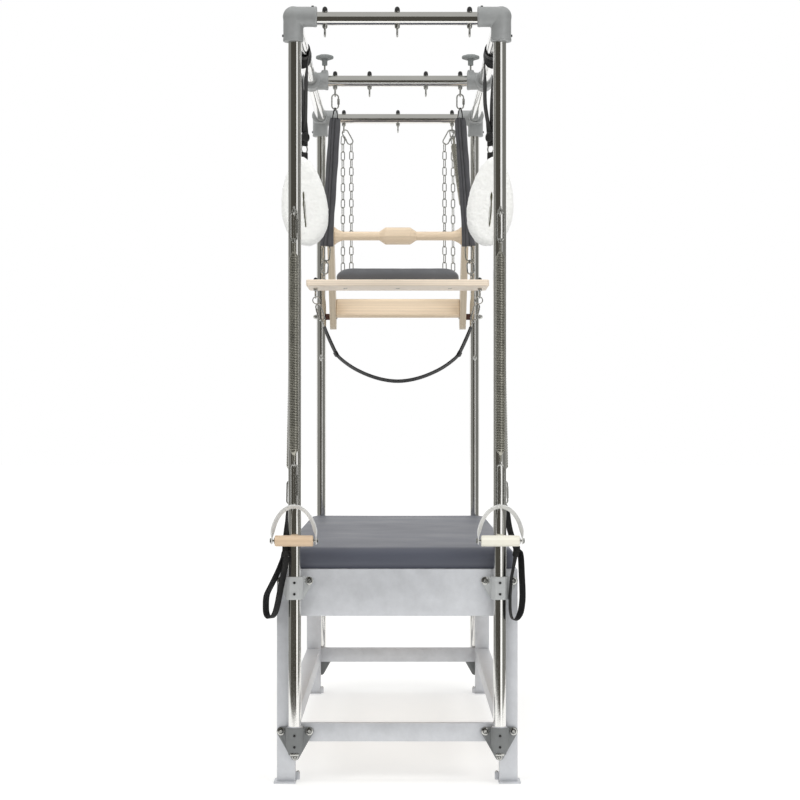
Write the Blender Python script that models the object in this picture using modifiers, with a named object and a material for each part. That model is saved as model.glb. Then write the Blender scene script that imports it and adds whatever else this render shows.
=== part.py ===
"""Pilates trapeze table, in metres: +Z up, X across, +Y from the spring end to the push bar end."""

import math

import bmesh
import bpy
from mathutils import Matrix, Vector

# Canopy tubes
LENGTH = 2.13
WIDTH = 0.595
RAIL_Z = 2.224
ORIGIN_SHIFT = 0.016
TUBE_RADIUS = 0.01905
TUBE_WALL = 0.002
TUBE_SIDES = 16

# Gaps between pieces
FIT = 0.0003
SLIDING_FIT = 0.0004
HOOK_FIT = 0.0002
WRAP_FIT = 0.0006
OBLIQUE_SLACK = 0.0005
WELD = 0.000005

# Base
BASE_OVERHANG = 0.0535
LEG_SIZE = 0.053
POST_STANDOFF = 0.025
FRAME_TOP = 0.624
END_RAIL_HEIGHT = 0.137
END_RAIL_THICKNESS = 0.040
SIDE_RAIL_THICKNESS = 0.030
LEDGE_WIDTH = 0.025
LEDGE_THICKNESS = 0.006
STRETCHER_Z = 0.121
STRETCHER_HEIGHT = 0.054
STRETCHER_THICKNESS = 0.030
FOOT_THICKNESS = 0.006
FOOT_OUT = 0.009
FOOT_IN = 0.003
FOOT_FRONT = 0.014
FOOT_BACK = 0.009
LUG_SIZE = 0.012
LUG_HEIGHT = 0.026

# Bed
DECK_THICKNESS = 0.018
DECK_CLEARANCE = 0.002
MATTRESS_THICKNESS = 0.0645
MATTRESS_INSET = 0.002
MATTRESS_CORNER = 0.035
MATTRESS_EDGE = 0.012
MATTRESS_STEPS = 2
PAD_CROWN = 0.004
PAD_WAIST = 0.002
SOFT_EDGE = 0.3

# Upper brackets
SADDLE_WIDTH = 0.050
SADDLE_REACH = 0.025
SADDLE_CHAMFER = 0.011
UPPER_BRACKET_DROP = 0.086
UPPER_BRACKET_HEIGHT = 0.066
EAR_SPACING = 0.082
EAR_RADIUS = 0.0125
EAR_SWEEP = 25
EAR_THICKNESS = 0.008
UPPER_EAR_RISE = 0.0525
BOLT_RADIUS = 0.007
BOLT_HEAD = 0.004
SET_SCREW_RADIUS = 0.0035
SET_SCREW_PROUD = 0.0012
SET_SCREW_SPACING = 0.033

# Lower brackets, from the underside of the end stretcher
LOWER_EAR_RISE = 0.031
LOWER_TIP_DROP = 0.041
LOWER_TIP_RADIUS = 0.013
LOWER_TIP_SWEEP = 55
SOCKET_RISE = 0.046
SOCKET_DROP = 0.031
POST_FOOT_DROP = 0.021
LEDGE_DROP = 0.008

# Corner fittings
FITTING_RADIUS = 0.030
FITTING_OFFSET = 0.004
FITTING_ARM = 0.065
FITTING_DROP = 0.069
FITTING_SIDES = 14
FITTING_BALL_RADIUS = 0.0325
FITTING_BALL_SIDES = 12
TUBE_SETBACK = 0.025
TOP_SCREW_INSET = 0.013
SIDE_SCREW_INSET = 0.018

# Eyebolts and dome nuts
EYE_RADIUS = 0.0105
EYE_WIRE = 0.003
EYE_REACH = 0.0225
ARM_EYE_REACH = 0.0265
COLLAR_RADIUS = 0.005
DOME_RADIUS = 0.0075
DOME_HEIGHT = 0.0155
DOME_SHOULDER_RADIUS = 0.0053
DOME_SHOULDER_HEIGHT = 0.0132
BOLT_SIDES = 6
EYE_POINTS = 8
RAIL_EYE_INSET = 0.0875

# Slider
SLIDER_FROM_NEAR = 1.18
SLIDER_EYE_INSET = 0.082
SLIDER_INNER_EYE_X = 0.097
CLAMP_RADIUS = 0.032
CLAMP_LENGTH = 0.076
SOCKET_RADIUS = 0.031
SOCKET_ARM = 0.059
CROSSBAR_SETBACK = 0.030
KNOB_INSET = 0.046
STUD_RADIUS = 0.003
STUD_TOP = 0.054
HUB_RADIUS = 0.0093
HUB_HEIGHT = 0.017
KNOB_RADIUS = 0.0275
KNOB_LOBE = 0.003
KNOB_LOBES = 6
KNOB_LOBE_POINTS = 4
KNOB_THICKNESS = 0.020
KNOB_ROUNDING = 0.006

# Links, hooks and their wire
LINK_WIRE = 0.0025
LINK_ARC = 4
QUICK_LINK_WIDTH = 0.023
QUICK_LINK_LENGTH = 0.088
HOOK_WIDTH = 0.020

# Swing seat
SEAT_LENGTH = 0.62
SEAT_DEPTH = 0.28
SEAT_THICKNESS = 0.022
SEAT_CORNER = 0.006
SEAT_PAD_LENGTH = 0.445
SEAT_PAD_THICKNESS = 0.038
SEAT_PAD_INSET = 0.012
SEAT_PAD_CORNER = 0.019
SEAT_PAD_EDGE = 0.0095
SEAT_PAD_STEPS = 2
SLEEVE_WIDTH = 0.041
SLEEVE_THICKNESS = 0.022
SLEEVE_ROUNDING = 0.0073
SLEEVE_DROP = 0.126
SLEEVE_LENGTH = 0.443
SEAT_BELOW_SLEEVE = 0.123
SEAT_HOLD_INSET = 0.057
SEAT_END_INSET = 0.027
SEAT_SCREW_X = 0.18
STRAP_DROP = 0.190
STRAP_FULLNESS = 2.4
STRAP_WIDTH = 0.038
STRAP_THICKNESS = 0.004
STRAP_HOOK_DROP = 0.154
STRAP_HOOK_INSET = 0.0295
STRAP_POINTS = 10

# Push bar
PIVOT_RISE = 0.831
BAR_LEAN = math.radians(48)
ARM_LENGTH = 0.430
ARM_WIDTH = 0.098
ARM_THICKNESS = 0.024
ARM_END_STEPS = 8
SPACER_LENGTH = 0.01545
WOOD_ROUNDING = 0.003
SHELF_AT = 0.047
SHELF_WIDTH = 0.088
SHELF_THICKNESS = 0.018
HANDLE_RADIUS = 0.0165
HANDLE_FLARE_RADIUS = 0.033
HANDLE_FLARE_NECK = 0.026
HANDLE_SWELL_RADIUS = 0.0325
HANDLE_SWELL_FLAT = 0.0465
HANDLE_SWELL_END = 0.070
HANDLE_FLARE_LENGTH = 0.035
HANDLE_FLARE_LIP = 0.0117
HANDLE_SIDES = 12
HANDLE_SWELL_SIDES = 8
PIVOT_RADIUS = 0.005
PIVOT_CLEARANCE = 0.0006
PIVOT_HEAD = 0.004
PIVOT_HEAD_RADIUS = 0.0096
PIVOT_NUT = 0.0056
PIVOT_NUT_RADIUS = 0.0084
PIVOT_CAP = 0.0128
PIVOT_CAP_SHOULDER = 0.0104
PIVOT_CAP_RADIUS = 0.0054
SPACER_RADIUS = 0.012

# Springs
SPRING_RADIUS = 0.014
SPRING_WIRE = 0.0016
CURL_POINTS = 8
ARM_SPRING_CURLS = 8
LEG_SPRING_CURLS = 5
BAR_SPRING_CURLS = 5
ARM_EYE_RISE = 1.038
LEG_EYE_RISE = 0.988
FAR_EYE_RISE = 0.671
UPPER_HOOK_LENGTH = 0.082
SPRING_NECK = 0.044
SPRING_BODY = 0.563
SPRING_TAIL = 0.030
TAIL_RING_RADIUS = 0.0065
BAR_SPRING_NECK = 0.1002
BAR_HOOK_LENGTH = 0.045

# Spring handles
GRIP_DROP = 0.952
GRIP_RADIUS = 0.016
GRIP_LENGTH = 0.111
BOW_HALF_WIDTH = 0.0675
BOW_HEIGHT = 0.101
BOW_THICKNESS = 0.003
BOW_WIDTH = 0.020
BOW_LUG = 0.010
BOW_STEPS = 9
AXLE_RADIUS = 0.004
AXLE_NUT_RADIUS = 0.0075
AXLE_NUT = 0.006

# Foot loops
LOOP_HOOK_OUT = -0.004
LOOP_DROP = 0.797
WEB_WIDTH = 0.028
WEB_THICKNESS = 0.004
LOOP_FRONT_SHIFT = -0.006
LOOP_CROSS_START = 0.015
LOOP_CROSS_END = 0.150

# Cuffs
CUFF_FROM_NEAR = 0.63
CUFF_DROP = 0.327
CUFF_HEIGHT = 0.287
CUFF_HALF_WIDTH = 0.076
CUFF_DEPTH = 0.085
CUFF_PEAR = 0.16
CUFF_SLIT_DROP = 0.102
CUFF_SLIT_HEIGHT = 0.140
CUFF_SLIT_HALF = 0.009
CUFF_STRAP_SEAT = 0.013
CUFF_STEPS = 14
BUCKLE_RADIUS = 0.0168
BUCKLE_RISE = 0.063

# Chains
CHAIN_ABOVE_PIVOT = 0.145
CHAIN_TURN_STEPS = 6
CHAIN_WIRE = 0.004
CHAIN_GAP = 0.033
LINK_ASIDE = 0.0028
CHAIN_LINK_LENGTH = 0.062
CHAIN_LINK_TILT = math.radians(35)

NEAR_Y = -LENGTH / 2 + ORIGIN_SHIFT
FAR_Y = LENGTH / 2 + ORIGIN_SHIFT
POST_X = WIDTH / 2
BORE_RADIUS = TUBE_RADIUS + FIT
BASE_WIDTH = WIDTH + 2 * BASE_OVERHANG
FRAME_FACE = LENGTH / 2 - POST_STANDOFF
UPPER_BRACKET_Z = FRAME_TOP - UPPER_BRACKET_DROP
UPPER_EAR_Z = UPPER_BRACKET_Z + UPPER_EAR_RISE
LOWER_EAR_Z = STRETCHER_Z + LOWER_EAR_RISE
LOWER_TIP_Z = STRETCHER_Z - LOWER_TIP_DROP
SOCKET_TOP = STRETCHER_Z + SOCKET_RISE
SOCKET_BOTTOM = STRETCHER_Z - SOCKET_DROP
POST_FOOT_Z = STRETCHER_Z - POST_FOOT_DROP
RAIL_EYE_X = POST_X - RAIL_EYE_INSET
SLIDER_Y = NEAR_Y + SLIDER_FROM_NEAR
SLIDER_EYE_X = POST_X - SLIDER_EYE_INSET
SLEEVE_TOP = RAIL_Z - SLEEVE_DROP
SLEEVE_BOTTOM = SLEEVE_TOP - SLEEVE_LENGTH
SEAT_TOP = SLEEVE_BOTTOM - SEAT_BELOW_SLEEVE
SEAT_HOLD_X = SEAT_LENGTH / 2 - SEAT_HOLD_INSET
SEAT_END_X = SEAT_LENGTH / 2 - SEAT_END_INSET
STRAP_HOOK_X = SEAT_END_X - STRAP_HOOK_INSET
STRAP_HOOK_Z = SEAT_TOP - STRAP_HOOK_DROP
PIVOT_Z = FRAME_TOP + PIVOT_RISE
ARM_INNER_X = POST_X - TUBE_RADIUS - SPACER_LENGTH - ARM_THICKNESS
ARM_EYE_Z = FRAME_TOP + ARM_EYE_RISE
LEG_EYE_Z = FRAME_TOP + LEG_EYE_RISE
FAR_EYE_Z = FRAME_TOP + FAR_EYE_RISE
GRIP_Z = ARM_EYE_Z - GRIP_DROP
LOOP_TOP_Z = LEG_EYE_Z - LOOP_DROP
POST_SIDE_X = POST_X + TUBE_RADIUS
LOOP_HOOK_X = POST_SIDE_X + LOOP_HOOK_OUT
CUFF_Y = NEAR_Y + CUFF_FROM_NEAR
CUFF_TOP = RAIL_Z - CUFF_DROP
CUFF_BOTTOM = CUFF_TOP - CUFF_HEIGHT
CUFF_SLIT_TOP = CUFF_TOP - CUFF_SLIT_DROP
CUFF_SLIT_BOTTOM = CUFF_SLIT_TOP - CUFF_SLIT_HEIGHT
BUCKLE_Z = CUFF_TOP + BUCKLE_RISE
CHAIN_BOTTOM = PIVOT_Z + CHAIN_ABOVE_PIVOT
SIDES = {"left": -1, "right": 1}
ENDS = {"near": -1, "far": 1}

MATERIALS = {
    "aluminium": ((0.62, 0.63, 0.63), 0.42, 1.0),
    "casting": ((0.33, 0.34, 0.34), 0.5, 1.0),
    "steel": ((0.72, 0.72, 0.71), 0.18, 1.0),
    "spring_steel": ((0.28, 0.27, 0.24), 0.35, 1.0),
    "wood": ((0.74, 0.57, 0.38), 0.5, 0.0),
    "plywood": ((0.70, 0.58, 0.48), 0.55, 0.0),
    "vinyl": ((0.12, 0.12, 0.13), 0.5, 0.0),
    "sleeve": ((0.06, 0.06, 0.065), 0.7, 0.0),
    "webbing": ((0.012, 0.012, 0.013), 0.8, 0.0),
    "sheepskin": ((0.86, 0.85, 0.82), 0.95, 0.0),
    "knob": ((0.11, 0.12, 0.12), 0.55, 0.0),
}


# Scene and objects
def clear_scene():
    for obj in list(bpy.data.objects):
        bpy.data.objects.remove(obj, do_unlink=True)


def collection(name):
    made = bpy.data.collections.new(name)
    bpy.context.scene.collection.children.link(made)
    return made


def new_material(name, colour, roughness, metallic):
    material = bpy.data.materials.new(name)
    material.use_nodes = True
    shader = material.node_tree.nodes["Principled BSDF"]
    shader.inputs["Base Color"].default_value = (*colour, 1.0)
    shader.inputs["Roughness"].default_value = roughness
    shader.inputs["Metallic"].default_value = metallic
    return material


def new_object(data):
    obj = bpy.data.objects.new("piece", data)
    PARTS.objects.link(obj)
    return obj


def from_bmesh(bm):
    bmesh.ops.recalc_face_normals(bm, faces=bm.faces)
    mesh = bpy.data.meshes.new("piece")
    bm.to_mesh(mesh)
    bm.free()
    return new_object(mesh)


def baked(obj):
    """The object with its modifiers applied, its caps welded and its faces pointing out."""
    bpy.context.view_layer.update()
    graph = bpy.context.evaluated_depsgraph_get()
    mesh = bpy.data.meshes.new_from_object(obj.evaluated_get(graph))
    mesh.transform(obj.matrix_world)
    bpy.data.objects.remove(obj, do_unlink=True)
    bm = bmesh.new()
    bm.from_mesh(mesh)
    bmesh.ops.remove_doubles(bm, verts=bm.verts, dist=WELD)
    bmesh.ops.dissolve_degenerate(bm, edges=bm.edges, dist=WELD)
    bpy.data.meshes.remove(mesh)
    return from_bmesh(bm)


def boolean(body, other, operation):
    modifier = body.modifiers.new(operation, "BOOLEAN")
    modifier.operation = operation
    modifier.object = other
    result = baked(body)
    bpy.data.objects.remove(other, do_unlink=True)
    return result


def fused(body, *others):
    for other in others:
        body = boolean(body, other, "UNION")
    return body


def cut(body, *cutters):
    for cutter in cutters:
        body = boolean(body, cutter, "DIFFERENCE")
    return body


def mirrored(obj, x_sign, y_sign, place):
    """A copy of a piece made about the origin, mirrored across X or Y and moved to its place."""
    mesh = obj.data.copy()
    mesh.transform(Matrix.Translation(place) @ Matrix.Diagonal((x_sign, y_sign, 1, 1)))
    if x_sign * y_sign < 0:
        mesh.flip_normals()
    return new_object(mesh)


def joint_empty(name, place):
    empty = bpy.data.objects.new(name, None)
    empty.empty_display_size = 0.03
    empty.location = place
    PARTS.objects.link(empty)
    return empty


def finished(obj, name, material, joint=None):
    """Names a piece, gives it its material and hangs it on the empty at its joint."""
    obj.name = name
    obj.data.name = name
    obj.data.materials.clear()
    obj.data.materials.append(PAINTS[material])
    obj.data.shade_smooth()
    obj.data.set_sharp_from_angle(angle=math.radians(35))
    if joint:
        obj.parent = joint
        obj.location = -joint.location
    return obj


# Shapes
def block(low, high):
    low, high = Vector(low), Vector(high)
    bm = bmesh.new()
    bmesh.ops.create_cube(bm, size=1.0)
    scale = Matrix.Diagonal((*(high - low), 1.0))
    bmesh.ops.transform(bm, matrix=Matrix.Translation((low + high) / 2) @ scale, verts=bm.verts)
    return from_bmesh(bm)


def turn_to(axis):
    return Vector(axis).to_track_quat("Z", "Y").to_matrix().to_4x4()


def rod(start, end, radius, sides=TUBE_SIDES):
    start, end = Vector(start), Vector(end)
    depth = (end - start).length
    bm = bmesh.new()
    bmesh.ops.create_cone(
        bm, cap_ends=True, segments=sides, radius1=radius, radius2=radius, depth=depth
    )
    matrix = Matrix.Translation((start + end) / 2) @ turn_to(end - start)
    bmesh.ops.transform(bm, matrix=matrix, verts=bm.verts)
    return from_bmesh(bm)


def ball(centre, radius, segments, rings):
    bm = bmesh.new()
    bmesh.ops.create_uvsphere(bm, u_segments=segments, v_segments=rings, radius=radius)
    bmesh.ops.translate(bm, vec=centre, verts=bm.verts)
    return from_bmesh(bm)


def tube(start, end, radius, wall):
    start, end = Vector(start), Vector(end)
    past = (end - start).normalized() * wall
    return cut(rod(start, end, radius), rod(start - past, end + past, radius - wall))


def turned(profile, start, axis, sides):
    """A profile of (radius, height) points from top to bottom, turned about the axis from the start point."""
    bm = bmesh.new()
    verts = [bm.verts.new((radius, 0, height)) for radius, height in profile]
    for above, below in zip(verts, verts[1:]):
        bm.edges.new((above, below))
    mesh = bpy.data.meshes.new("profile")
    bm.to_mesh(mesh)
    bm.free()
    obj = new_object(mesh)
    obj.matrix_world = Matrix.Translation(start) @ turn_to(axis)
    screw = obj.modifiers.new("turn", "SCREW")
    screw.steps = sides
    screw.render_steps = sides
    screw.use_merge_vertices = True
    screw.merge_threshold = 1e-5
    return baked(obj)


def bevelled(obj, width, segments, limit=30):
    bevel = obj.modifiers.new("rounding", "BEVEL")
    bevel.width = width
    bevel.segments = segments
    bevel.limit_method = "ANGLE"
    bevel.angle_limit = math.radians(limit)
    return baked(obj)


def wire(points, radius, closed=False):
    curve = bpy.data.curves.new("wire", "CURVE")
    curve.dimensions = "3D"
    spline = curve.splines.new("POLY")
    spline.points.add(len(points) - 1)
    for point, place in zip(spline.points, points):
        point.co = (*place, 1)
    spline.use_cyclic_u = closed
    curve.bevel_depth = radius
    curve.bevel_resolution = 1
    curve.use_fill_caps = not closed
    return baked(new_object(curve))


def plate(outlines, thickness, matrix, rounding=0.0):
    """Flat outlines in the XY plane, as thick as given, put in place by the matrix."""
    curve = bpy.data.curves.new("plate", "CURVE")
    curve.dimensions = "2D"
    curve.fill_mode = "BOTH"
    curve.extrude = thickness / 2 - rounding
    curve.bevel_depth = rounding
    curve.bevel_resolution = 0
    curve.offset = -rounding
    for outline in outlines:
        spline = curve.splines.new("POLY")
        spline.points.add(len(outline) - 1)
        for point, place in zip(spline.points, outline):
            point.co = (*place, 0, 1)
        spline.use_cyclic_u = True
    obj = new_object(curve)
    obj.matrix_world = matrix
    return baked(obj)


def upright(x, y):
    """Puts a plate's X along the object's X and its Y up, so that its thickness runs along Y."""
    return Matrix.Translation((x, y, 0)) @ Matrix.Rotation(math.radians(90), 4, "X")


def arc(centre, radius, start, end, steps):
    """Points on an arc, in degrees, both ends included."""
    angles = [math.radians(start + (end - start) * i / steps) for i in range(steps + 1)]
    return [(centre[0] + radius * math.cos(a), centre[1] + radius * math.sin(a)) for a in angles]


def stadium(top, bottom, width, normal):
    """Points of a long closed link whose wire runs through the top and the bottom point."""
    top, bottom = Vector(top), Vector(bottom)
    down = (bottom - top).normalized()
    across = down.cross(Vector(normal)).normalized() * width / 2
    drop = down * width / 2
    points = []
    for centre, sign in ((top + drop, -1), (bottom - drop, 1)):
        for step in range(LINK_ARC + 1):
            angle = math.pi * step / LINK_ARC
            points.append(centre - sign * math.cos(angle) * across + sign * math.sin(angle) * drop)
    return points


def ring(centre, radius, normal, points=EYE_POINTS):
    turn = turn_to(normal)
    angles = [2 * math.pi * (i + 0.5) / points for i in range(points)]
    return [
        Vector(centre) + turn @ Vector((radius * math.cos(a), radius * math.sin(a), 0))
        for a in angles
    ]


def link(top, bottom, width, normal=(0, 1, 0), radius=LINK_WIRE):
    return wire(stadium(top, bottom, width, normal), radius, closed=True)


def offset_path(path, distance, closed):
    """The path moved sideways by a distance, in its own plane."""
    moved = []
    last = len(path) - 1
    for index, (x, z) in enumerate(path):
        before = path[index - 1] if index or closed else path[index]
        after = path[(index + 1) % len(path)] if index < last or closed else path[index]
        length = math.dist(before, after)
        moved.append((
            x - (after[1] - before[1]) / length * distance,
            z + (after[0] - before[0]) / length * distance,
        ))
    return moved


def ribbon(path, thickness, width, y, closed=False):
    """Webbing on edge along a path in an XZ plane, its width along Y."""
    outer = offset_path(path, thickness / 2, closed)
    inner = offset_path(path, -thickness / 2, closed)
    outlines = [outer, inner] if closed else [outer + inner[::-1]]
    return plate(outlines, width, upright(0, y))


def least_gap(points, radius):
    """The least gap between a tube and itself, on points at least half a curl apart."""
    apart = CURL_POINTS // 2
    nearest = min(
        (a - b).length for i, a in enumerate(points) for b in points[i + apart:]
    )
    return nearest - 2 * radius


def coil_points(top, bottom, neck, tail, curls):
    """A wire that leaves the axis, curls round it and comes back to it, from the top to the bottom point."""
    top, bottom = Vector(top), Vector(bottom)
    down = (bottom - top).normalized()
    turn = turn_to(down)
    body = (bottom - top).length - neck - tail
    radius = SPRING_RADIUS - SPRING_WIRE
    points = [top]
    count = curls * CURL_POINTS
    for index in range(count + 1):
        angle = 2 * math.pi * index / CURL_POINTS
        edge = min(index, count - index) / (CURL_POINTS / 2)
        reach = radius * min(1.0, edge)
        height = neck + body * index / count
        points.append(top + turn @ Vector((reach * math.cos(angle), reach * math.sin(angle), height)))
    points.append(bottom)
    return points


# Hardware
def eye(surface, direction, normal, back=TUBE_WALL / 2, reach=EYE_REACH):
    """An eyebolt that stands on a surface, its stem set that far back into the material."""
    surface, direction = Vector(surface), Vector(direction)
    top = surface + direction * (reach - EYE_RADIUS)
    stem = rod(surface - direction * back, top, COLLAR_RADIUS, BOLT_SIDES)
    loop = wire(ring(surface + direction * reach, EYE_RADIUS, normal), EYE_WIRE, closed=True)
    return fused(stem, loop)


def dome_nut(surface, direction):
    profile = [
        (0, DOME_HEIGHT),
        (DOME_SHOULDER_RADIUS, DOME_SHOULDER_HEIGHT),
        (DOME_RADIUS, DOME_HEIGHT / 2),
        (DOME_RADIUS, -TUBE_WALL / 2),
        (0, -TUBE_WALL / 2),
    ]
    return turned(profile, surface, direction, BOLT_SIDES)


def reach_inside(ring_radius, ring_wire):
    """How far from the middle of a faceted ring a link's wire can be without meeting its flats."""
    return ring_radius * math.cos(math.pi / EYE_POINTS) - ring_wire - LINK_WIRE - HOOK_FIT


def hook_top(eye_centre, pull, aside=0.0, slack=0.0):
    """Where a link's wire crosses its eye, on the side that the load pulls to, or aside along Y."""
    reach = reach_inside(EYE_RADIUS, EYE_WIRE) - slack
    share = math.sqrt(reach * reach - aside * aside)
    return Vector(eye_centre) + Vector((0, aside, 0)) + Vector(pull) * share


def hung_link(seat, low, width):
    """A link that hangs askew: the highest point of its arc at the seat, its lower end at the low point."""
    centre = seat - Vector((0, 0, width / 2))
    along = (low - centre).normalized()
    return link(centre - along * width / 2, low, width)


def bolt_head(centre, outward):
    """A round bolt head on a flat face that looks along Y."""
    x, y, z = centre
    return rod((x, y + BOLT_HEAD / 2, z), (x, y - outward * BOLT_HEAD, z), BOLT_RADIUS, BOLT_SIDES)


# Base
def end_frame():
    """The near welded end frame about the middle of its own end, with its outer face at y = 0."""
    outer = BASE_WIDTH / 2
    inner = outer - LEG_SIZE
    rail_low = FRAME_TOP - END_RAIL_HEIGHT
    sink = FIT
    body = block((-inner - sink, 0, rail_low), (inner + sink, END_RAIL_THICKNESS, FRAME_TOP))
    stretcher = block(
        (-inner - sink, 0, STRETCHER_Z),
        (inner + sink, STRETCHER_THICKNESS, STRETCHER_Z + STRETCHER_HEIGHT),
    )
    legs = []
    for sign in (-1, 1):
        near, far = sorted((sign * inner, sign * outer))
        leg = block((near, 0, FOOT_THICKNESS / 2), (far, LEG_SIZE, FRAME_TOP))
        low, high = sorted((sign * (inner - FOOT_IN), sign * (outer + FOOT_OUT)))
        foot = block((low, -FOOT_FRONT, 0), (high, LEG_SIZE + FOOT_BACK, FOOT_THICKNESS))
        low, high = sorted((sign * (inner - LUG_SIZE), sign * (inner + sink)))
        lug = block((low, LEG_SIZE - LUG_SIZE, FOOT_THICKNESS / 2), (high, LEG_SIZE - sink, LUG_HEIGHT))
        legs.append(fused(leg, foot, lug))
    return fused(legs[0], body, stretcher, legs[1])


def build_base():
    master = end_frame()
    for end, sign in ENDS.items():
        place = (0, ORIGIN_SHIFT + sign * FRAME_FACE, 0)
        finished(mirrored(master, 1, -sign, place), f"end_frame_{end}", "aluminium")
    bpy.data.objects.remove(master, do_unlink=True)

    reach = FRAME_FACE - LEG_SIZE - FIT
    near, far = ORIGIN_SHIFT - reach, ORIGIN_SHIFT + reach
    outer = BASE_WIDTH / 2
    face = outer - SIDE_RAIL_THICKNESS
    ledge_z = FRAME_TOP - DECK_THICKNESS - FIT
    for side, sign in SIDES.items():
        low, high = sorted((sign * face, sign * outer))
        rail = block((low, near, FRAME_TOP - END_RAIL_HEIGHT), (high, far, FRAME_TOP))
        low, high = sorted((sign * (face - LEDGE_WIDTH), sign * (face + LEDGE_THICKNESS)))
        ledge = block((low, near, ledge_z - LEDGE_THICKNESS), (high, far, ledge_z))
        finished(fused(rail, ledge), f"side_rail_{side}", "aluminium")
        low, high = sorted((sign * (outer - LEG_SIZE), sign * outer))
        stretcher = block((low, near, STRETCHER_Z), (high, far, STRETCHER_Z + STRETCHER_HEIGHT))
        finished(stretcher, f"side_stretcher_{side}", "aluminium")

    half = face - DECK_CLEARANCE
    notch = outer - LEG_SIZE - DECK_CLEARANCE
    deck_reach = FRAME_FACE - END_RAIL_THICKNESS - DECK_CLEARANCE
    deck = block(
        (-half, ORIGIN_SHIFT - deck_reach, FRAME_TOP - DECK_THICKNESS),
        (half, ORIGIN_SHIFT + deck_reach, FRAME_TOP),
    )
    leg_reach = FRAME_FACE - LEG_SIZE - DECK_CLEARANCE
    past = 2 * LEG_SIZE
    for x_sign in (-1, 1):
        for y_sign in (-1, 1):
            xs = sorted((x_sign * notch, x_sign * (notch + past)))
            ys = sorted((y_sign * leg_reach, y_sign * (leg_reach + past)))
            low = (xs[0], ORIGIN_SHIFT + ys[0], FRAME_TOP - past)
            high = (xs[1], ORIGIN_SHIFT + ys[1], FRAME_TOP + past)
            deck = cut(deck, block(low, high))
    finished(deck, "deck_board", "plywood")


def rounded_corners(half_x, half_y, radius, steps):
    """The outline of a rectangle about the origin with round corners."""
    points = []
    for quarter, (x_sign, y_sign) in enumerate(((1, 1), (-1, 1), (-1, -1), (1, -1))):
        centre = (x_sign * (half_x - radius), y_sign * (half_y - radius))
        points += arc(centre, radius, 90 * quarter, 90 * (quarter + 1), steps)
    return points


def cushion(low, high, corner, edge, steps):
    """A flat-bottomed pad with round corners, soft edges, a crown and sides drawn in at half height."""
    low, high = Vector(low), Vector(high)
    middle = (low + high) / 2
    height = high.z - low.z
    half_x, half_y = (high.x - low.x) / 2, (high.y - low.y) / 2
    crown_inset = half_x / 2
    levels = [
        (edge, 0),
        (edge * SOFT_EDGE, edge * SOFT_EDGE),
        (0, edge),
        (PAD_WAIST, height / 2),
        (0, height - edge),
        (edge * SOFT_EDGE, height - edge * SOFT_EDGE),
        (edge, height),
        (crown_inset, height + PAD_CROWN),
    ]
    bm = bmesh.new()
    rings = []
    for inset, z in levels:
        radius = max(corner - inset, corner / 2)
        outline = rounded_corners(half_x - inset, half_y - inset, radius, steps)
        rings.append([bm.verts.new((middle.x + x, middle.y + y, low.z + z)) for x, y in outline])
    for below, above in zip(rings, rings[1:]):
        for index in range(len(below)):
            following = (index + 1) % len(below)
            bm.faces.new((below[index], below[following], above[following], above[index]))
    bm.faces.new(reversed(rings[0]))
    bm.faces.new(rings[-1])
    return from_bmesh(bm)


def build_mattress():
    reach = FRAME_FACE
    half = BASE_WIDTH / 2 - MATTRESS_INSET
    bottom = FRAME_TOP + FIT
    mattress = cushion(
        (-half, ORIGIN_SHIFT - reach, bottom),
        (half, ORIGIN_SHIFT + reach, bottom + MATTRESS_THICKNESS - PAD_CROWN),
        MATTRESS_CORNER,
        MATTRESS_EDGE,
        MATTRESS_STEPS,
    )
    finished(mattress, "mattress", "vinyl")


# Brackets, made about a near post whose axis stands at the origin, the table on the +Y side
def saddle(bottom, top, outline_width):
    half = outline_width / 2
    back = POST_STANDOFF - FIT
    outline = [
        (-half, back),
        (-half, -SADDLE_REACH + SADDLE_CHAMFER),
        (-half + SADDLE_CHAMFER, -SADDLE_REACH),
        (half - SADDLE_CHAMFER, -SADDLE_REACH),
        (half, -SADDLE_REACH + SADDLE_CHAMFER),
        (half, back),
    ]
    return plate([outline], top - bottom, Matrix.Translation((0, 0, (top + bottom) / 2)))


def set_screws(bottom, top):
    """Two set screws in the front of a saddle, one above the other about its middle."""
    middle = (bottom + top) / 2
    heights = (middle - SET_SCREW_SPACING / 2, middle + SET_SCREW_SPACING / 2)
    return [
        rod(
            (0, -SADDLE_REACH + SET_SCREW_RADIUS / 2, z),
            (0, -SADDLE_REACH - SET_SCREW_PROUD, z),
            SET_SCREW_RADIUS,
            BOLT_SIDES,
        )
        for z in heights
    ]


def ear_plate(outline):
    back = POST_STANDOFF - FIT
    return plate([outline], EAR_THICKNESS, upright(0, back - EAR_THICKNESS / 2))


def upper_bracket():
    ear = EAR_SPACING / 2
    top = UPPER_BRACKET_Z + UPPER_BRACKET_HEIGHT
    half = SADDLE_WIDTH / 2
    outline = (
        [(-half, UPPER_BRACKET_Z), (half, UPPER_BRACKET_Z)]
        + arc((ear, UPPER_EAR_Z), EAR_RADIUS, -EAR_SWEEP, 90, 2)
        + arc((-ear, UPPER_EAR_Z), EAR_RADIUS, 90, 180 + EAR_SWEEP, 2)
    )
    face = POST_STANDOFF - FIT - EAR_THICKNESS
    body = fused(
        saddle(UPPER_BRACKET_Z, top, SADDLE_WIDTH),
        ear_plate(outline),
        bolt_head((ear, face, UPPER_EAR_Z), 1),
        bolt_head((-ear, face, UPPER_EAR_Z), 1),
        *set_screws(UPPER_BRACKET_Z, top),
    )
    return cut(body, rod((0, 0, UPPER_BRACKET_Z - EAR_RADIUS), (0, 0, top + EAR_RADIUS), BORE_RADIUS))


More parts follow.
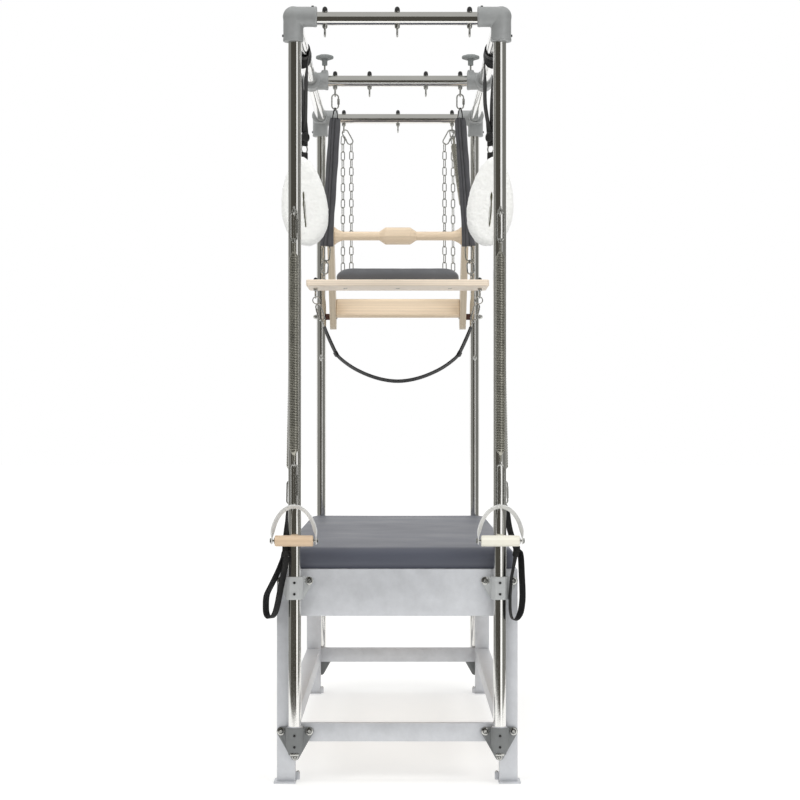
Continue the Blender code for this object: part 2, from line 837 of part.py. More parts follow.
def lower_bracket():
    ear = EAR_SPACING / 2
    outline = (
        arc((0, LOWER_TIP_Z), LOWER_TIP_RADIUS, 270 - LOWER_TIP_SWEEP, 270 + LOWER_TIP_SWEEP, 2)
        + arc((ear, LOWER_EAR_Z), EAR_RADIUS, -EAR_SWEEP, 90, 2)
        + arc((-ear, LOWER_EAR_Z), EAR_RADIUS, 90, 180 + EAR_SWEEP, 2)
    )
    face = POST_STANDOFF - FIT - EAR_THICKNESS
    half = SADDLE_WIDTH / 2
    ledge = block(
        (-half / 2, -SADDLE_REACH - SET_SCREW_PROUD, SOCKET_BOTTOM - LEDGE_DROP / 2),
        (half / 2, POST_STANDOFF / 2, SOCKET_BOTTOM + LEDGE_DROP / 2),
    )
    body = fused(
        saddle(SOCKET_BOTTOM, SOCKET_TOP, SADDLE_WIDTH),
        ear_plate(outline),
        bolt_head((ear, face, LOWER_EAR_Z), 1),
        bolt_head((-ear, face, LOWER_EAR_Z), 1),
        bolt_head((0, face, LOWER_TIP_Z - FIT), 1),
        ledge,
        *set_screws(SOCKET_BOTTOM, SOCKET_TOP),
    )
    return cut(body, rod((0, 0, POST_FOOT_Z - FIT), (0, 0, SOCKET_TOP + EAR_RADIUS), BORE_RADIUS))


def build_brackets():
    for level, master in (("upper", upper_bracket()), ("lower", lower_bracket())):
        for end, y_sign in ENDS.items():
            for side, x_sign in SIDES.items():
                place = (x_sign * POST_X, ORIGIN_SHIFT + y_sign * LENGTH / 2, 0)
                copy = mirrored(master, 1, -y_sign, place)
                finished(copy, f"{level}_bracket_{end}_{side}", "casting")
        bpy.data.objects.remove(master, do_unlink=True)


# Canopy
def corner_fitting():
    """The near right fitting about the point where its tubes' axes meet: arms to -X, +Y and down."""
    shift = FITTING_OFFSET
    centre = Vector((shift, -shift, shift))
    arms = [
        (centre, Vector((-FITTING_ARM, -shift, shift))),
        (centre, Vector((shift, FITTING_ARM, shift))),
        (centre, Vector((shift, -shift, -FITTING_DROP))),
    ]
    body = ball(centre, FITTING_BALL_RADIUS, FITTING_BALL_SIDES, FITTING_BALL_SIDES // 2)
    for start, end in arms:
        body = fused(body, rod(start, end, FITTING_RADIUS, FITTING_SIDES))
    out = FITTING_RADIUS + SET_SCREW_PROUD
    top_screw = rod(
        (-FITTING_ARM + TOP_SCREW_INSET, -shift, shift),
        (-FITTING_ARM + TOP_SCREW_INSET, -shift, shift + out),
        SET_SCREW_RADIUS,
        BOLT_SIDES,
    )
    side_screw = rod(
        (shift, -shift, -FITTING_DROP + SIDE_SCREW_INSET),
        (shift + out, -shift, -FITTING_DROP + SIDE_SCREW_INSET),
        SET_SCREW_RADIUS,
        BOLT_SIDES,
    )
    body = fused(body, top_screw, side_screw)
    start = TUBE_SETBACK - FIT
    past = FITTING_ARM + FITTING_RADIUS
    return cut(
        body,
        rod((-start, 0, 0), (-past, 0, 0), BORE_RADIUS),
        rod((0, start, 0), (0, past, 0), BORE_RADIUS),
        rod((0, 0, -start), (0, 0, -past), BORE_RADIUS),
    )


def post(end, x_sign):
    """A post with the eyebolts, and at the far end the pivot bolt, that it carries."""
    y_sign = ENDS[end]
    x, y = x_sign * POST_X, ORIGIN_SHIFT + y_sign * LENGTH / 2
    body = tube((x, y, POST_FOOT_Z), (x, y, RAIL_Z - TUBE_SETBACK), TUBE_RADIUS, TUBE_WALL)
    if end == "near":
        arm_eye = eye((x, y - TUBE_RADIUS, ARM_EYE_Z), (0, -1, 0), (1, 0, 0), reach=ARM_EYE_REACH)
        leg_eye = eye((x, y + TUBE_RADIUS, LEG_EYE_Z), (0, 1, 0), (1, 0, 0))
        return fused(body, arm_eye, leg_eye)
    small_eye = eye((x, y - TUBE_RADIUS, FAR_EYE_Z), (0, -1, 0), (1, 0, 0))
    spacer_end = FIT - 2 * TUBE_RADIUS - SPACER_LENGTH
    head = spacer_end - ARM_THICKNESS - 2 * FIT
    profile = [
        (0, PIVOT_CAP),
        (PIVOT_CAP_RADIUS, PIVOT_CAP_SHOULDER),
        (PIVOT_NUT_RADIUS, PIVOT_NUT),
        (PIVOT_NUT_RADIUS, -TUBE_WALL / 2),
        (PIVOT_RADIUS, -TUBE_WALL / 2),
        (PIVOT_RADIUS, TUBE_WALL / 2 - 2 * TUBE_RADIUS),
        (SPACER_RADIUS, TUBE_WALL / 2 - 2 * TUBE_RADIUS),
        (SPACER_RADIUS, spacer_end),
        (PIVOT_RADIUS, spacer_end),
        (PIVOT_RADIUS, head),
        (PIVOT_HEAD_RADIUS, head),
        (PIVOT_HEAD_RADIUS, head - PIVOT_HEAD),
        (0, head - PIVOT_HEAD),
    ]
    start = (x + x_sign * TUBE_RADIUS, y, PIVOT_Z)
    pivot = turned(profile, start, (x_sign, 0, 0), BOLT_SIDES)
    return fused(body, small_eye, pivot)


def rail_with_eyes(y, positions):
    reach = POST_X - TUBE_SETBACK
    body = tube((-reach, y, RAIL_Z), (reach, y, RAIL_Z), TUBE_RADIUS, TUBE_WALL)
    for x in positions:
        bolt = eye((x, y, RAIL_Z - TUBE_RADIUS), (0, 0, -1), (1, 0, 0))
        body = fused(body, bolt, dome_nut((x, y, RAIL_Z + TUBE_RADIUS), (0, 0, 1)))
    return body


def build_canopy():
    for end, y_sign in ENDS.items():
        y = ORIGIN_SHIFT + y_sign * LENGTH / 2
        finished(rail_with_eyes(y, (-RAIL_EYE_X, 0, RAIL_EYE_X)), f"top_rail_{end}", "steel")
        for side, x_sign in SIDES.items():
            finished(post(end, x_sign), f"post_{end}_{side}", "steel")
    master = corner_fitting()
    for end, y_sign in ENDS.items():
        for side, x_sign in SIDES.items():
            place = (x_sign * POST_X, ORIGIN_SHIFT + y_sign * LENGTH / 2, RAIL_Z)
            copy = mirrored(master, x_sign, -y_sign, place)
            finished(copy, f"corner_fitting_{end}_{side}", "casting")
    bpy.data.objects.remove(master, do_unlink=True)
    for side, x_sign in SIDES.items():
        x = x_sign * POST_X
        start = (x, NEAR_Y + TUBE_SETBACK, RAIL_Z)
        end = (x, FAR_Y - TUBE_SETBACK, RAIL_Z)
        finished(tube(start, end, TUBE_RADIUS, TUBE_WALL), f"top_rail_{side}", "steel")


# Slider
def slider_clamp():
    """The right clamp about the point where the side rail and the crossbar meet."""
    half = CLAMP_LENGTH / 2
    body = fused(
        rod((0, -half, 0), (0, half, 0), CLAMP_RADIUS),
        rod((0, 0, 0), (-SOCKET_ARM, 0, 0), SOCKET_RADIUS),
    )
    past = SOCKET_ARM + SOCKET_RADIUS
    return cut(
        body,
        rod((0, -past, 0), (0, past, 0), TUBE_RADIUS + SLIDING_FIT),
        rod((-CROSSBAR_SETBACK + FIT, 0, 0), (-past, 0, 0), BORE_RADIUS),
        rod((-KNOB_INSET, 0, 0), (-KNOB_INSET, 0, past), STUD_RADIUS + WRAP_FIT, 2 * BOLT_SIDES),
    )


def clamp_knob(x):
    """A lobed knob with its hub and stud, on a vertical axis through the crossbar's end."""
    head_low = RAIL_Z + STUD_TOP + HUB_HEIGHT
    lobes = []
    steps = KNOB_LOBES * KNOB_LOBE_POINTS
    for index in range(steps):
        angle = 2 * math.pi * index / steps
        radius = KNOB_RADIUS + KNOB_LOBE * math.cos(KNOB_LOBES * angle)
        lobes.append((radius * math.cos(angle), radius * math.sin(angle)))
    place = Matrix.Translation((x, SLIDER_Y, head_low + KNOB_THICKNESS / 2))
    head = plate([lobes], KNOB_THICKNESS, place, rounding=KNOB_ROUNDING)
    hub_low, hub_top = head_low - HUB_HEIGHT, head_low + FIT
    hub = rod((x, SLIDER_Y, hub_low), (x, SLIDER_Y, hub_top), HUB_RADIUS, 2 * BOLT_SIDES)
    stud_low = RAIL_Z + TUBE_RADIUS + FIT
    stud = rod((x, SLIDER_Y, stud_low), (x, SLIDER_Y, head_low), STUD_RADIUS, BOLT_SIDES)
    return fused(head, hub, stud)


def build_slider(joint):
    reach = POST_X - CROSSBAR_SETBACK
    body = tube((-reach, SLIDER_Y, RAIL_Z), (reach, SLIDER_Y, RAIL_Z), TUBE_RADIUS, TUBE_WALL)
    for x in (-SLIDER_EYE_X, -SLIDER_INNER_EYE_X, SLIDER_INNER_EYE_X, SLIDER_EYE_X):
        bolt = eye((x, SLIDER_Y, RAIL_Z - TUBE_RADIUS), (0, 0, -1), (1, 0, 0))
        body = fused(body, bolt, dome_nut((x, SLIDER_Y, RAIL_Z + TUBE_RADIUS), (0, 0, 1)))
    finished(body, "slider_crossbar", "steel", joint)
    master = slider_clamp()
    for side, x_sign in SIDES.items():
        place = (x_sign * POST_X, SLIDER_Y, RAIL_Z)
        finished(mirrored(master, x_sign, 1, place), f"slider_clamp_{side}", "casting", joint)
        knob_x = x_sign * (POST_X - KNOB_INSET)
        knob_joint = joint_empty(f"axis_knob_{side}", (knob_x, SLIDER_Y, RAIL_Z))
        finished(clamp_knob(knob_x), f"clamp_knob_{side}", "knob", knob_joint)
    bpy.data.objects.remove(master, do_unlink=True)


# Swing seat
def eye_below(surface_z):
    return surface_z - EYE_REACH


def seat_hanger(x_sign):
    """Quick link, padded sleeve and the hook that holds the board, in one piece."""
    y = SLIDER_Y
    eye_z = eye_below(RAIL_Z - TUBE_RADIUS)
    top = hook_top((x_sign * SLIDER_EYE_X, y, eye_z), (0, 0, -1))
    low = top - Vector((0, 0, QUICK_LINK_LENGTH))
    quick_link = link(top, low, QUICK_LINK_WIDTH)
    lean = x_sign * (SEAT_HOLD_X - SLIDER_EYE_X) / (SLEEVE_TOP - SEAT_TOP)
    half_x, half_y = SLEEVE_WIDTH / 2, SLEEVE_THICKNESS / 2
    sleeve = block((-half_x, -half_y, SLEEVE_BOTTOM - SLEEVE_TOP), (half_x, half_y, 0))
    sleeve = bevelled(sleeve, SLEEVE_ROUNDING, 1)
    place = Matrix.Translation((x_sign * SLIDER_EYE_X, y, SLEEVE_TOP))
    sleeve.matrix_world = place @ Matrix.Shear("XY", 4, (-lean, 0))
    sleeve = baked(sleeve)
    foot_x = x_sign * SLIDER_EYE_X + lean * (SLEEVE_TOP - SLEEVE_BOTTOM)
    hold_top = Vector((foot_x, y, SLEEVE_BOTTOM + LINK_WIRE))
    hold_eye = Vector((x_sign * SEAT_HOLD_X, y, SEAT_TOP + EYE_REACH))
    hold_low = hook_top(hold_eye, (0, 0, 1))
    hook = link(hold_top, hold_low, HOOK_WIDTH)
    return fused(sleeve, quick_link, hook)


def seat_board():
    y = SLIDER_Y
    half_x, half_y = SEAT_LENGTH / 2, SEAT_DEPTH / 2
    body = block((-half_x, y - half_y, SEAT_TOP - SEAT_THICKNESS), (half_x, y + half_y, SEAT_TOP))
    body = bevelled(body, SEAT_CORNER, 1)
    for sign in (-1, 1):
        hold = eye((sign * SEAT_HOLD_X, y, SEAT_TOP), (0, 0, 1), (1, 0, 0), back=SEAT_THICKNESS / 2)
        low = eye(
            (sign * SEAT_END_X, y, SEAT_TOP - SEAT_THICKNESS), (0, 0, -1), (1, 0, 0), back=SEAT_THICKNESS / 2
        )
        nut_low = SEAT_TOP - SEAT_THICKNESS / 2
        nut = rod(
            (sign * SEAT_END_X, y, nut_low),
            (sign * SEAT_END_X, y, SEAT_TOP + DOME_HEIGHT / 2),
            DOME_RADIUS,
            BOLT_SIDES,
        )
        body = fused(body, hold, low, nut)
    for x in (-SEAT_SCREW_X, 0, SEAT_SCREW_X):
        head_z = SEAT_TOP - SEAT_THICKNESS
        head = rod((x, y, head_z + BOLT_HEAD / 2), (x, y, head_z - BOLT_HEAD / 2), BOLT_RADIUS, BOLT_SIDES)
        body = fused(body, head)
    return body


def seat_pad():
    half_x = SEAT_PAD_LENGTH / 2
    half_y = SEAT_DEPTH / 2 - SEAT_PAD_INSET
    bottom = SEAT_TOP + FIT
    return cushion(
        (-half_x, SLIDER_Y - half_y, bottom),
        (half_x, SLIDER_Y + half_y, bottom + SEAT_PAD_THICKNESS - PAD_CROWN),
        SEAT_PAD_CORNER,
        SEAT_PAD_EDGE,
        SEAT_PAD_STEPS,
    )


def seat_strap():
    """Two hooks in the board's end eyes with the webbing that hangs between them."""
    y = SLIDER_Y
    eye_z = eye_below(SEAT_TOP - SEAT_THICKNESS)
    hooks = []
    for sign in (-1, 1):
        seat = hook_top((sign * SEAT_END_X, y, eye_z), (0, 0, -1))
        hooks.append(hung_link(seat, Vector((sign * STRAP_HOOK_X, y, STRAP_HOOK_Z)), HOOK_WIDTH))
    path = []
    for index in range(STRAP_POINTS + 1):
        share = 2 * index / STRAP_POINTS - 1
        z = STRAP_HOOK_Z - STRAP_DROP * (1 - abs(share) ** STRAP_FULLNESS)
        path.append((share * STRAP_HOOK_X, z))
    return fused(ribbon(path, STRAP_THICKNESS, STRAP_WIDTH, y), *hooks)


def build_swing(joint, strap_joint):
    finished(seat_board(), "swing_board", "plywood", joint)
    finished(seat_pad(), "swing_pad", "vinyl", joint)
    for side, x_sign in SIDES.items():
        finished(seat_hanger(x_sign), f"swing_hanger_{side}", "sleeve", joint)
    finished(seat_strap(), "swing_strap", "webbing", strap_joint)


# Push bar, made with its arms standing straight up from the pivot, then leaned
def bar_lean():
    pivot = Vector((0, FAR_Y, PIVOT_Z))
    return Matrix.Translation(pivot) @ Matrix.Rotation(BAR_LEAN, 4, "X")


def leaned(obj):
    obj.matrix_world = bar_lean()
    return baked(obj)


def bar_arm(x_sign):
    half = ARM_WIDTH / 2
    outline = arc((0, 0), half, 180, 360, ARM_END_STEPS)
    outline += arc((0, ARM_LENGTH), half, 0, 180, ARM_END_STEPS)
    middle = x_sign * (ARM_INNER_X + ARM_THICKNESS / 2)
    face = Matrix.Rotation(math.radians(90), 4, "Z") @ Matrix.Rotation(math.radians(90), 4, "X")
    place = Matrix.Translation((middle, 0, 0)) @ face
    body = plate([outline], ARM_THICKNESS, place, rounding=WOOD_ROUNDING)
    near, far = (middle - ARM_THICKNESS, 0, 0), (middle + ARM_THICKNESS, 0, 0)
    body = cut(body, rod(near, far, PIVOT_RADIUS + PIVOT_CLEARANCE, 2 * BOLT_SIDES))
    if x_sign > 0:
        top = Vector((middle, 0, ARM_LENGTH + half))
        body = fused(body, eye(top, (0, 0, 1), (1, 0, 0), back=half / 2))
    return leaned(body)


def bar_handle():
    """A round bar that flares at the arms, with an eight-sided swell in the middle."""
    reach = ARM_INNER_X - FIT
    flare = reach - HANDLE_FLARE_LENGTH
    bar = [(0, reach), (HANDLE_FLARE_RADIUS, reach)]
    bar += [(HANDLE_FLARE_NECK, reach - HANDLE_FLARE_LIP), (HANDLE_RADIUS, flare)]
    bar += [(radius, -height) for radius, height in reversed(bar)]
    swell = [(0, HANDLE_SWELL_END), (HANDLE_RADIUS, HANDLE_SWELL_END)]
    swell += [(HANDLE_SWELL_RADIUS, HANDLE_SWELL_FLAT)]
    swell += [(radius, -height) for radius, height in reversed(swell)]
    centre = (0, 0, ARM_LENGTH)
    return leaned(fused(
        turned(bar, centre, (1, 0, 0), HANDLE_SIDES),
        turned(swell, centre, (1, 0, 0), HANDLE_SWELL_SIDES),
    ))


def bar_shelf():
    reach = ARM_INNER_X - FIT
    body = block(
        (-reach, -SHELF_WIDTH / 2, SHELF_AT - SHELF_THICKNESS / 2),
        (reach, SHELF_WIDTH / 2, SHELF_AT + SHELF_THICKNESS / 2),
    )
    return leaned(bevelled(body, WOOD_ROUNDING, 2))


def bar_spring_line():
    """The two eyes that the push bar's spring joins: on the far top rail and on the right arm."""
    rail_eye = Vector((RAIL_EYE_X, FAR_Y, eye_below(RAIL_Z - TUBE_RADIUS)))
    local = Vector((ARM_INNER_X + ARM_THICKNESS / 2, 0, ARM_LENGTH + ARM_WIDTH / 2 + EYE_REACH))
    return rail_eye, bar_lean() @ local


def bar_spring():
    rail_eye, arm_eye = bar_spring_line()
    start = hook_top(rail_eye, (0, 0, -1), -LINK_ASIDE, OBLIQUE_SLACK)
    end = hook_top(arm_eye, (start - arm_eye).normalized(), slack=OBLIQUE_SLACK)
    pull = (end - start).normalized()
    across = Vector((1, 0, 0)) - pull * pull.x
    normal = pull.cross(across).normalized()
    ring_low = end - pull * BAR_HOOK_LENGTH
    hook_low = start + pull * BAR_HOOK_LENGTH
    coil = coil_points(
        hook_low,
        ring_low - pull * TAIL_RING_RADIUS,
        BAR_SPRING_NECK - BAR_HOOK_LENGTH,
        BAR_SPRING_NECK - BAR_HOOK_LENGTH - TAIL_RING_RADIUS,
        BAR_SPRING_CURLS,
    )
    print("bar spring, least gap to itself in mm:", round(least_gap(coil, SPRING_WIRE) * 1000, 2))
    upper = link(start, hook_low, HOOK_WIDTH, normal)
    tail = wire(ring(ring_low, TAIL_RING_RADIUS, across), SPRING_WIRE, closed=True)
    body = fused(wire(coil, SPRING_WIRE), upper, tail)
    hook_start = ring_low + pull * reach_inside(TAIL_RING_RADIUS, SPRING_WIRE)
    hook = link(hook_start, end, HOOK_WIDTH, normal)
    return body, hook


def build_push_bar(joint):
    for side, x_sign in SIDES.items():
        finished(bar_arm(x_sign), f"push_bar_arm_{side}", "wood", joint)
    finished(bar_handle(), "push_bar_handle", "wood", joint)
    finished(bar_shelf(), "push_bar_shelf", "wood", joint)
    spring, hook = bar_spring()
    finished(spring, "push_bar_spring", "spring_steel")
    finished(hook, "push_bar_hook", "steel", joint)


# Springs at the near posts
def long_spring(eye_centre, foot, curls, label):
    """A coil with its upper hook and the small ring at its foot, hung from an eye towards a lower point."""
    eye_centre, foot = Vector(eye_centre), Vector(foot)
    pull = (foot - eye_centre).normalized()
    top = hook_top(eye_centre, pull)
    hook_low = top + pull * UPPER_HOOK_LENGTH
    coil_low = hook_low + pull * (SPRING_NECK + SPRING_BODY + SPRING_TAIL)
    coil = coil_points(hook_low, coil_low, SPRING_NECK, SPRING_TAIL, curls)
    print(label, "least gap to itself in mm:", round(least_gap(coil, SPRING_WIRE) * 1000, 2))
    ring_centre = coil_low + pull * TAIL_RING_RADIUS
    upper = link(top, hook_low, HOOK_WIDTH)
    tail = wire(ring(ring_centre, TAIL_RING_RADIUS, (1, 0, 0)), SPRING_WIRE, closed=True)
    hook_start = ring_centre + pull * reach_inside(TAIL_RING_RADIUS, SPRING_WIRE)
    return fused(wire(coil, SPRING_WIRE), upper, tail), hook_start


def handle_bow(hook_start, x, y):
    """The lower hook, the bow that hangs from it and the axle rod for the grip, in one piece."""
    outer = arc((0, 0), 1, 0, 180, BOW_STEPS)
    inner_scale = BOW_HALF_WIDTH - BOW_THICKNESS
    inner_height = BOW_HEIGHT - BOW_THICKNESS
    outline = [(BOW_HALF_WIDTH, -BOW_LUG)]
    outline += [(BOW_HALF_WIDTH * px, BOW_HEIGHT * pz) for px, pz in outer]
    outline += [(-BOW_HALF_WIDTH, -BOW_LUG), (-inner_scale, -BOW_LUG)]
    outline += [(inner_scale * px, inner_height * pz) for px, pz in reversed(outer)]
    outline += [(inner_scale, -BOW_LUG)]
    bow = plate([outline], BOW_WIDTH, Matrix.Translation((0, 0, GRIP_Z)) @ upright(x, y))
    nut_end = BOW_HALF_WIDTH + AXLE_NUT
    profile = [(0, nut_end), (AXLE_NUT_RADIUS, nut_end)]
    profile += [(AXLE_NUT_RADIUS, inner_scale), (AXLE_RADIUS, inner_scale)]
    profile += [(radius, -height) for radius, height in reversed(profile)]
    axle = turned(profile, (x, y, GRIP_Z), (1, 0, 0), BOLT_SIDES)
    hook = link(hook_start, (x, y, GRIP_Z + BOW_HEIGHT - BOW_THICKNESS / 2), HOOK_WIDTH)
    return fused(bow, axle, hook)


def grip(x, y):
    half = GRIP_LENGTH / 2
    wall = GRIP_RADIUS - AXLE_RADIUS - FIT
    return tube((x - half, y, GRIP_Z), (x + half, y, GRIP_Z), GRIP_RADIUS, wall)


def build_arm_springs():
    y = NEAR_Y - TUBE_RADIUS - ARM_EYE_REACH
    for side, x_sign in SIDES.items():
        x = x_sign * POST_X
        swing = joint_empty(f"axis_arm_spring_{side}", (x, y, ARM_EYE_Z))
        spin = joint_empty(f"axis_grip_{side}", (x, y, GRIP_Z))
        eye_centre, foot = (x, y, ARM_EYE_Z), (x, y, GRIP_Z)
        spring, hook_start = long_spring(eye_centre, foot, ARM_SPRING_CURLS, f"arm spring {side}")
        finished(spring, f"arm_spring_{side}", "spring_steel", swing)
        finished(handle_bow(hook_start, x, y), f"handle_bow_{side}", "steel", swing)
        finished(grip(x, y), f"handle_grip_{side}", "wood", spin)


# Foot loops, seen from the near end: how far each point lies outwards from the post's side and below
# the hook, for the strap from the hook and then for the loop's two strands
LEFT_STRAP = [
    (-0.0038, -0.003),
    (0.0024, 0.02),
    (0.0056, 0.065),
    (0.0069, 0.11),
    (0.0074, 0.143),
]
LEFT_LOOP = [
    (0.0074, 0.139),
    (0.0124, 0.155),
    (0.0234, 0.183),
    (0.0354, 0.209),
    (0.0489, 0.236),
    (0.0634, 0.267),
    (0.0659, 0.301),
    (0.0634, 0.322),
    (0.0554, 0.332),
    (0.0464, 0.329),
    (0.0374, 0.315),
    (0.0304, 0.29),
    (0.0244, 0.26),
    (0.0184, 0.23),
    (0.0119, 0.2),
    (0.0064, 0.17),
    (0.0056, 0.155),
]
RIGHT_STRAP = [
    (-0.0038, -0.003),
    (0.0029, 0.02),
    (0.0079, 0.058),
    (0.0134, 0.085),
    (0.0254, 0.121),
    (0.0299, 0.133),
]
RIGHT_LOOP = [
    (0.0299, 0.131),
    (0.0389, 0.139),
    (0.0424, 0.155),
    (0.0439, 0.175),
    (0.0454, 0.209),
    (0.0472, 0.244),
    (0.0472, 0.279),
    (0.0424, 0.312),
    (0.0334, 0.331),
    (0.0249, 0.336),
    (0.0164, 0.331),
    (0.0109, 0.312),
    (0.0099, 0.279),
    (0.0114, 0.244),
    (0.0149, 0.209),
    (0.0219, 0.175),
    (0.0264, 0.15),
]


def beside_post(offsets, x_sign):
    return [(x_sign * (POST_SIDE_X + out), LOOP_TOP_Z - down) for out, down in offsets]


def foot_loop(hook_start, strap, loop):
    """Webbing that passes beside the post from behind it to in front of the end frame, with its hook."""
    y = NEAR_Y + TUBE_RADIUS + EYE_REACH
    web = fused(
        ribbon(loop, WEB_THICKNESS, WEB_WIDTH, y, closed=True),
        ribbon(strap, WEB_THICKNESS, WEB_WIDTH, y),
    )
    forward = LOOP_FRONT_SHIFT - TUBE_RADIUS - EYE_REACH
    for vert in web.data.vertices:
        share = (LOOP_TOP_Z - LOOP_CROSS_START - vert.co.z) / (LOOP_CROSS_END - LOOP_CROSS_START)
        share = min(1.0, max(0.0, share))
        vert.co.y += forward * share * share * (3 - 2 * share)
    low = (strap[0][0], y, LOOP_TOP_Z - LINK_WIRE)
    return fused(web, link(hook_start, low, HOOK_WIDTH))


def build_leg_springs():
    y = NEAR_Y + TUBE_RADIUS + EYE_REACH
    paths = {"left": (LEFT_STRAP, LEFT_LOOP), "right": (RIGHT_STRAP, RIGHT_LOOP)}
    for side, x_sign in SIDES.items():
        x = x_sign * POST_X
        foot = (x_sign * LOOP_HOOK_X, y, LOOP_TOP_Z)
        swing = joint_empty(f"axis_leg_spring_{side}", (x, y, LEG_EYE_Z))
        eye_centre = (x, y, LEG_EYE_Z)
        spring, hook_start = long_spring(eye_centre, foot, LEG_SPRING_CURLS, f"leg spring {side}")
        finished(spring, f"leg_spring_{side}", "spring_steel", swing)
        strap, loop = (beside_post(offsets, x_sign) for offsets in paths[side])
        finished(foot_loop(hook_start, strap, loop), f"foot_loop_{side}", "webbing", swing)


# Cuffs
def pear(half_width, top, bottom, lean):
    """An upright oval that is widest below its middle."""
    middle, half = (top + bottom) / 2, (top - bottom) / 2
    outline = []
    for index in range(CUFF_STEPS):
        angle = 2 * math.pi * index / CUFF_STEPS
        x = half_width * math.cos(angle) * (1 - lean * math.sin(angle))
        outline.append((x, middle + half * math.sin(angle)))
    return outline


def cuff():
    """Webbing round the side rail, buckle and D-ring, with the sheepskin loop, made about x = 0."""
    inner = TUBE_RADIUS + WRAP_FIT
    start = (0, CUFF_Y - WEB_WIDTH / 2, RAIL_Z)
    end = (0, CUFF_Y + WEB_WIDTH / 2, RAIL_Z)
    band = tube(start, end, inner + WEB_THICKNESS, WEB_THICKNESS)
    half_x, half_y = WEB_THICKNESS, WEB_WIDTH / 2 - FIT
    strap = block(
        (-half_x, CUFF_Y - half_y, CUFF_TOP - CUFF_STRAP_SEAT),
        (half_x, CUFF_Y + half_y, RAIL_Z - inner - WEB_THICKNESS / 2),
    )
    buckle = ball((0, CUFF_Y, BUCKLE_Z), BUCKLE_RADIUS, 8, 4)
    outlines = [
        pear(CUFF_HALF_WIDTH, CUFF_TOP, CUFF_BOTTOM, CUFF_PEAR),
        pear(CUFF_SLIT_HALF, CUFF_SLIT_TOP, CUFF_SLIT_BOTTOM, 0),
    ]
    fleece = plate(outlines, CUFF_DEPTH, upright(0, CUFF_Y))
    return fused(fleece, strap, band, buckle)


def build_cuffs():
    master = cuff()
    for side, x_sign in SIDES.items():
        joint = joint_empty(f"axis_cuff_{side}", (x_sign * POST_X, CUFF_Y, RAIL_Z))
        finished(mirrored(master, 1, 1, (x_sign * POST_X, 0, 0)), f"cuff_{side}", "sheepskin", joint)
    bpy.data.objects.remove(master, do_unlink=True)


# Chains
def chain(x_sign):
    """A doubled chain on a tilted quick link at the far top rail, as a plain tube along its route."""
    y = FAR_Y + LINK_ASIDE
    eye_z = eye_below(RAIL_Z - TUBE_RADIUS)
    seat = hook_top((x_sign * RAIL_EYE_X, FAR_Y, eye_z), (0, 0, -1), LINK_ASIDE)
    along = Vector((-x_sign * math.sin(CHAIN_LINK_TILT), 0, -math.cos(CHAIN_LINK_TILT)))
    low = seat - Vector((0, 0, QUICK_LINK_WIDTH / 2)) + along * (CHAIN_LINK_LENGTH - QUICK_LINK_WIDTH / 2)
    quick_link = hung_link(seat, low, QUICK_LINK_WIDTH)
    inner = low.x
    outer = inner + x_sign * CHAIN_GAP
    half = CHAIN_GAP / 2
    middle = (inner + outer) / 2
    turn_z = CHAIN_BOTTOM + half + CHAIN_WIRE
    side_z = (seat.z + low.z) / 2
    points = [(outer, y, side_z), (outer, y, turn_z)]
    for x, z in arc((0, turn_z), half, 0, -180, CHAIN_TURN_STEPS)[1:-1]:
        points.append((middle + x_sign * x, y, z))
    points += [(inner, y, turn_z), (inner, y, low.z)]
    return fused(wire(points, CHAIN_WIRE), quick_link)


def build_chains():
    for side, x_sign in SIDES.items():
        eye_centre = (x_sign * RAIL_EYE_X, FAR_Y, eye_below(RAIL_Z - TUBE_RADIUS))
        joint = joint_empty(f"axis_chain_{side}", eye_centre)
        finished(chain(x_sign), f"chain_{side}", "steel", joint)


clear_scene()
PARTS = collection("pilates_trapeze_table")
PAINTS = {name: new_material(name, *values) for name, values in MATERIALS.items()}
build_base()
build_mattress()
build_brackets()
build_canopy()
build_slider(joint_empty("axis_slider", (0, SLIDER_Y, RAIL_Z)))
build_swing(
    joint_empty("axis_swing", (0, SLIDER_Y, eye_below(RAIL_Z - TUBE_RADIUS))),
    joint_empty("axis_swing_strap", (0, SLIDER_Y, eye_below(SEAT_TOP - SEAT_THICKNESS))),
)
build_push_bar(joint_empty("axis_push_bar", (0, FAR_Y, PIVOT_Z)))
build_arm_springs()
build_leg_springs()
build_cuffs()
build_chains()
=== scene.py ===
"""The visible model of a pilates trapeze table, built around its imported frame. Lengths are in metres."""
import math
from contextlib import contextmanager

import bmesh
import bpy
from bpy.props import FloatProperty, FloatVectorProperty, IntProperty, PointerProperty
from mathutils import Matrix, Vector


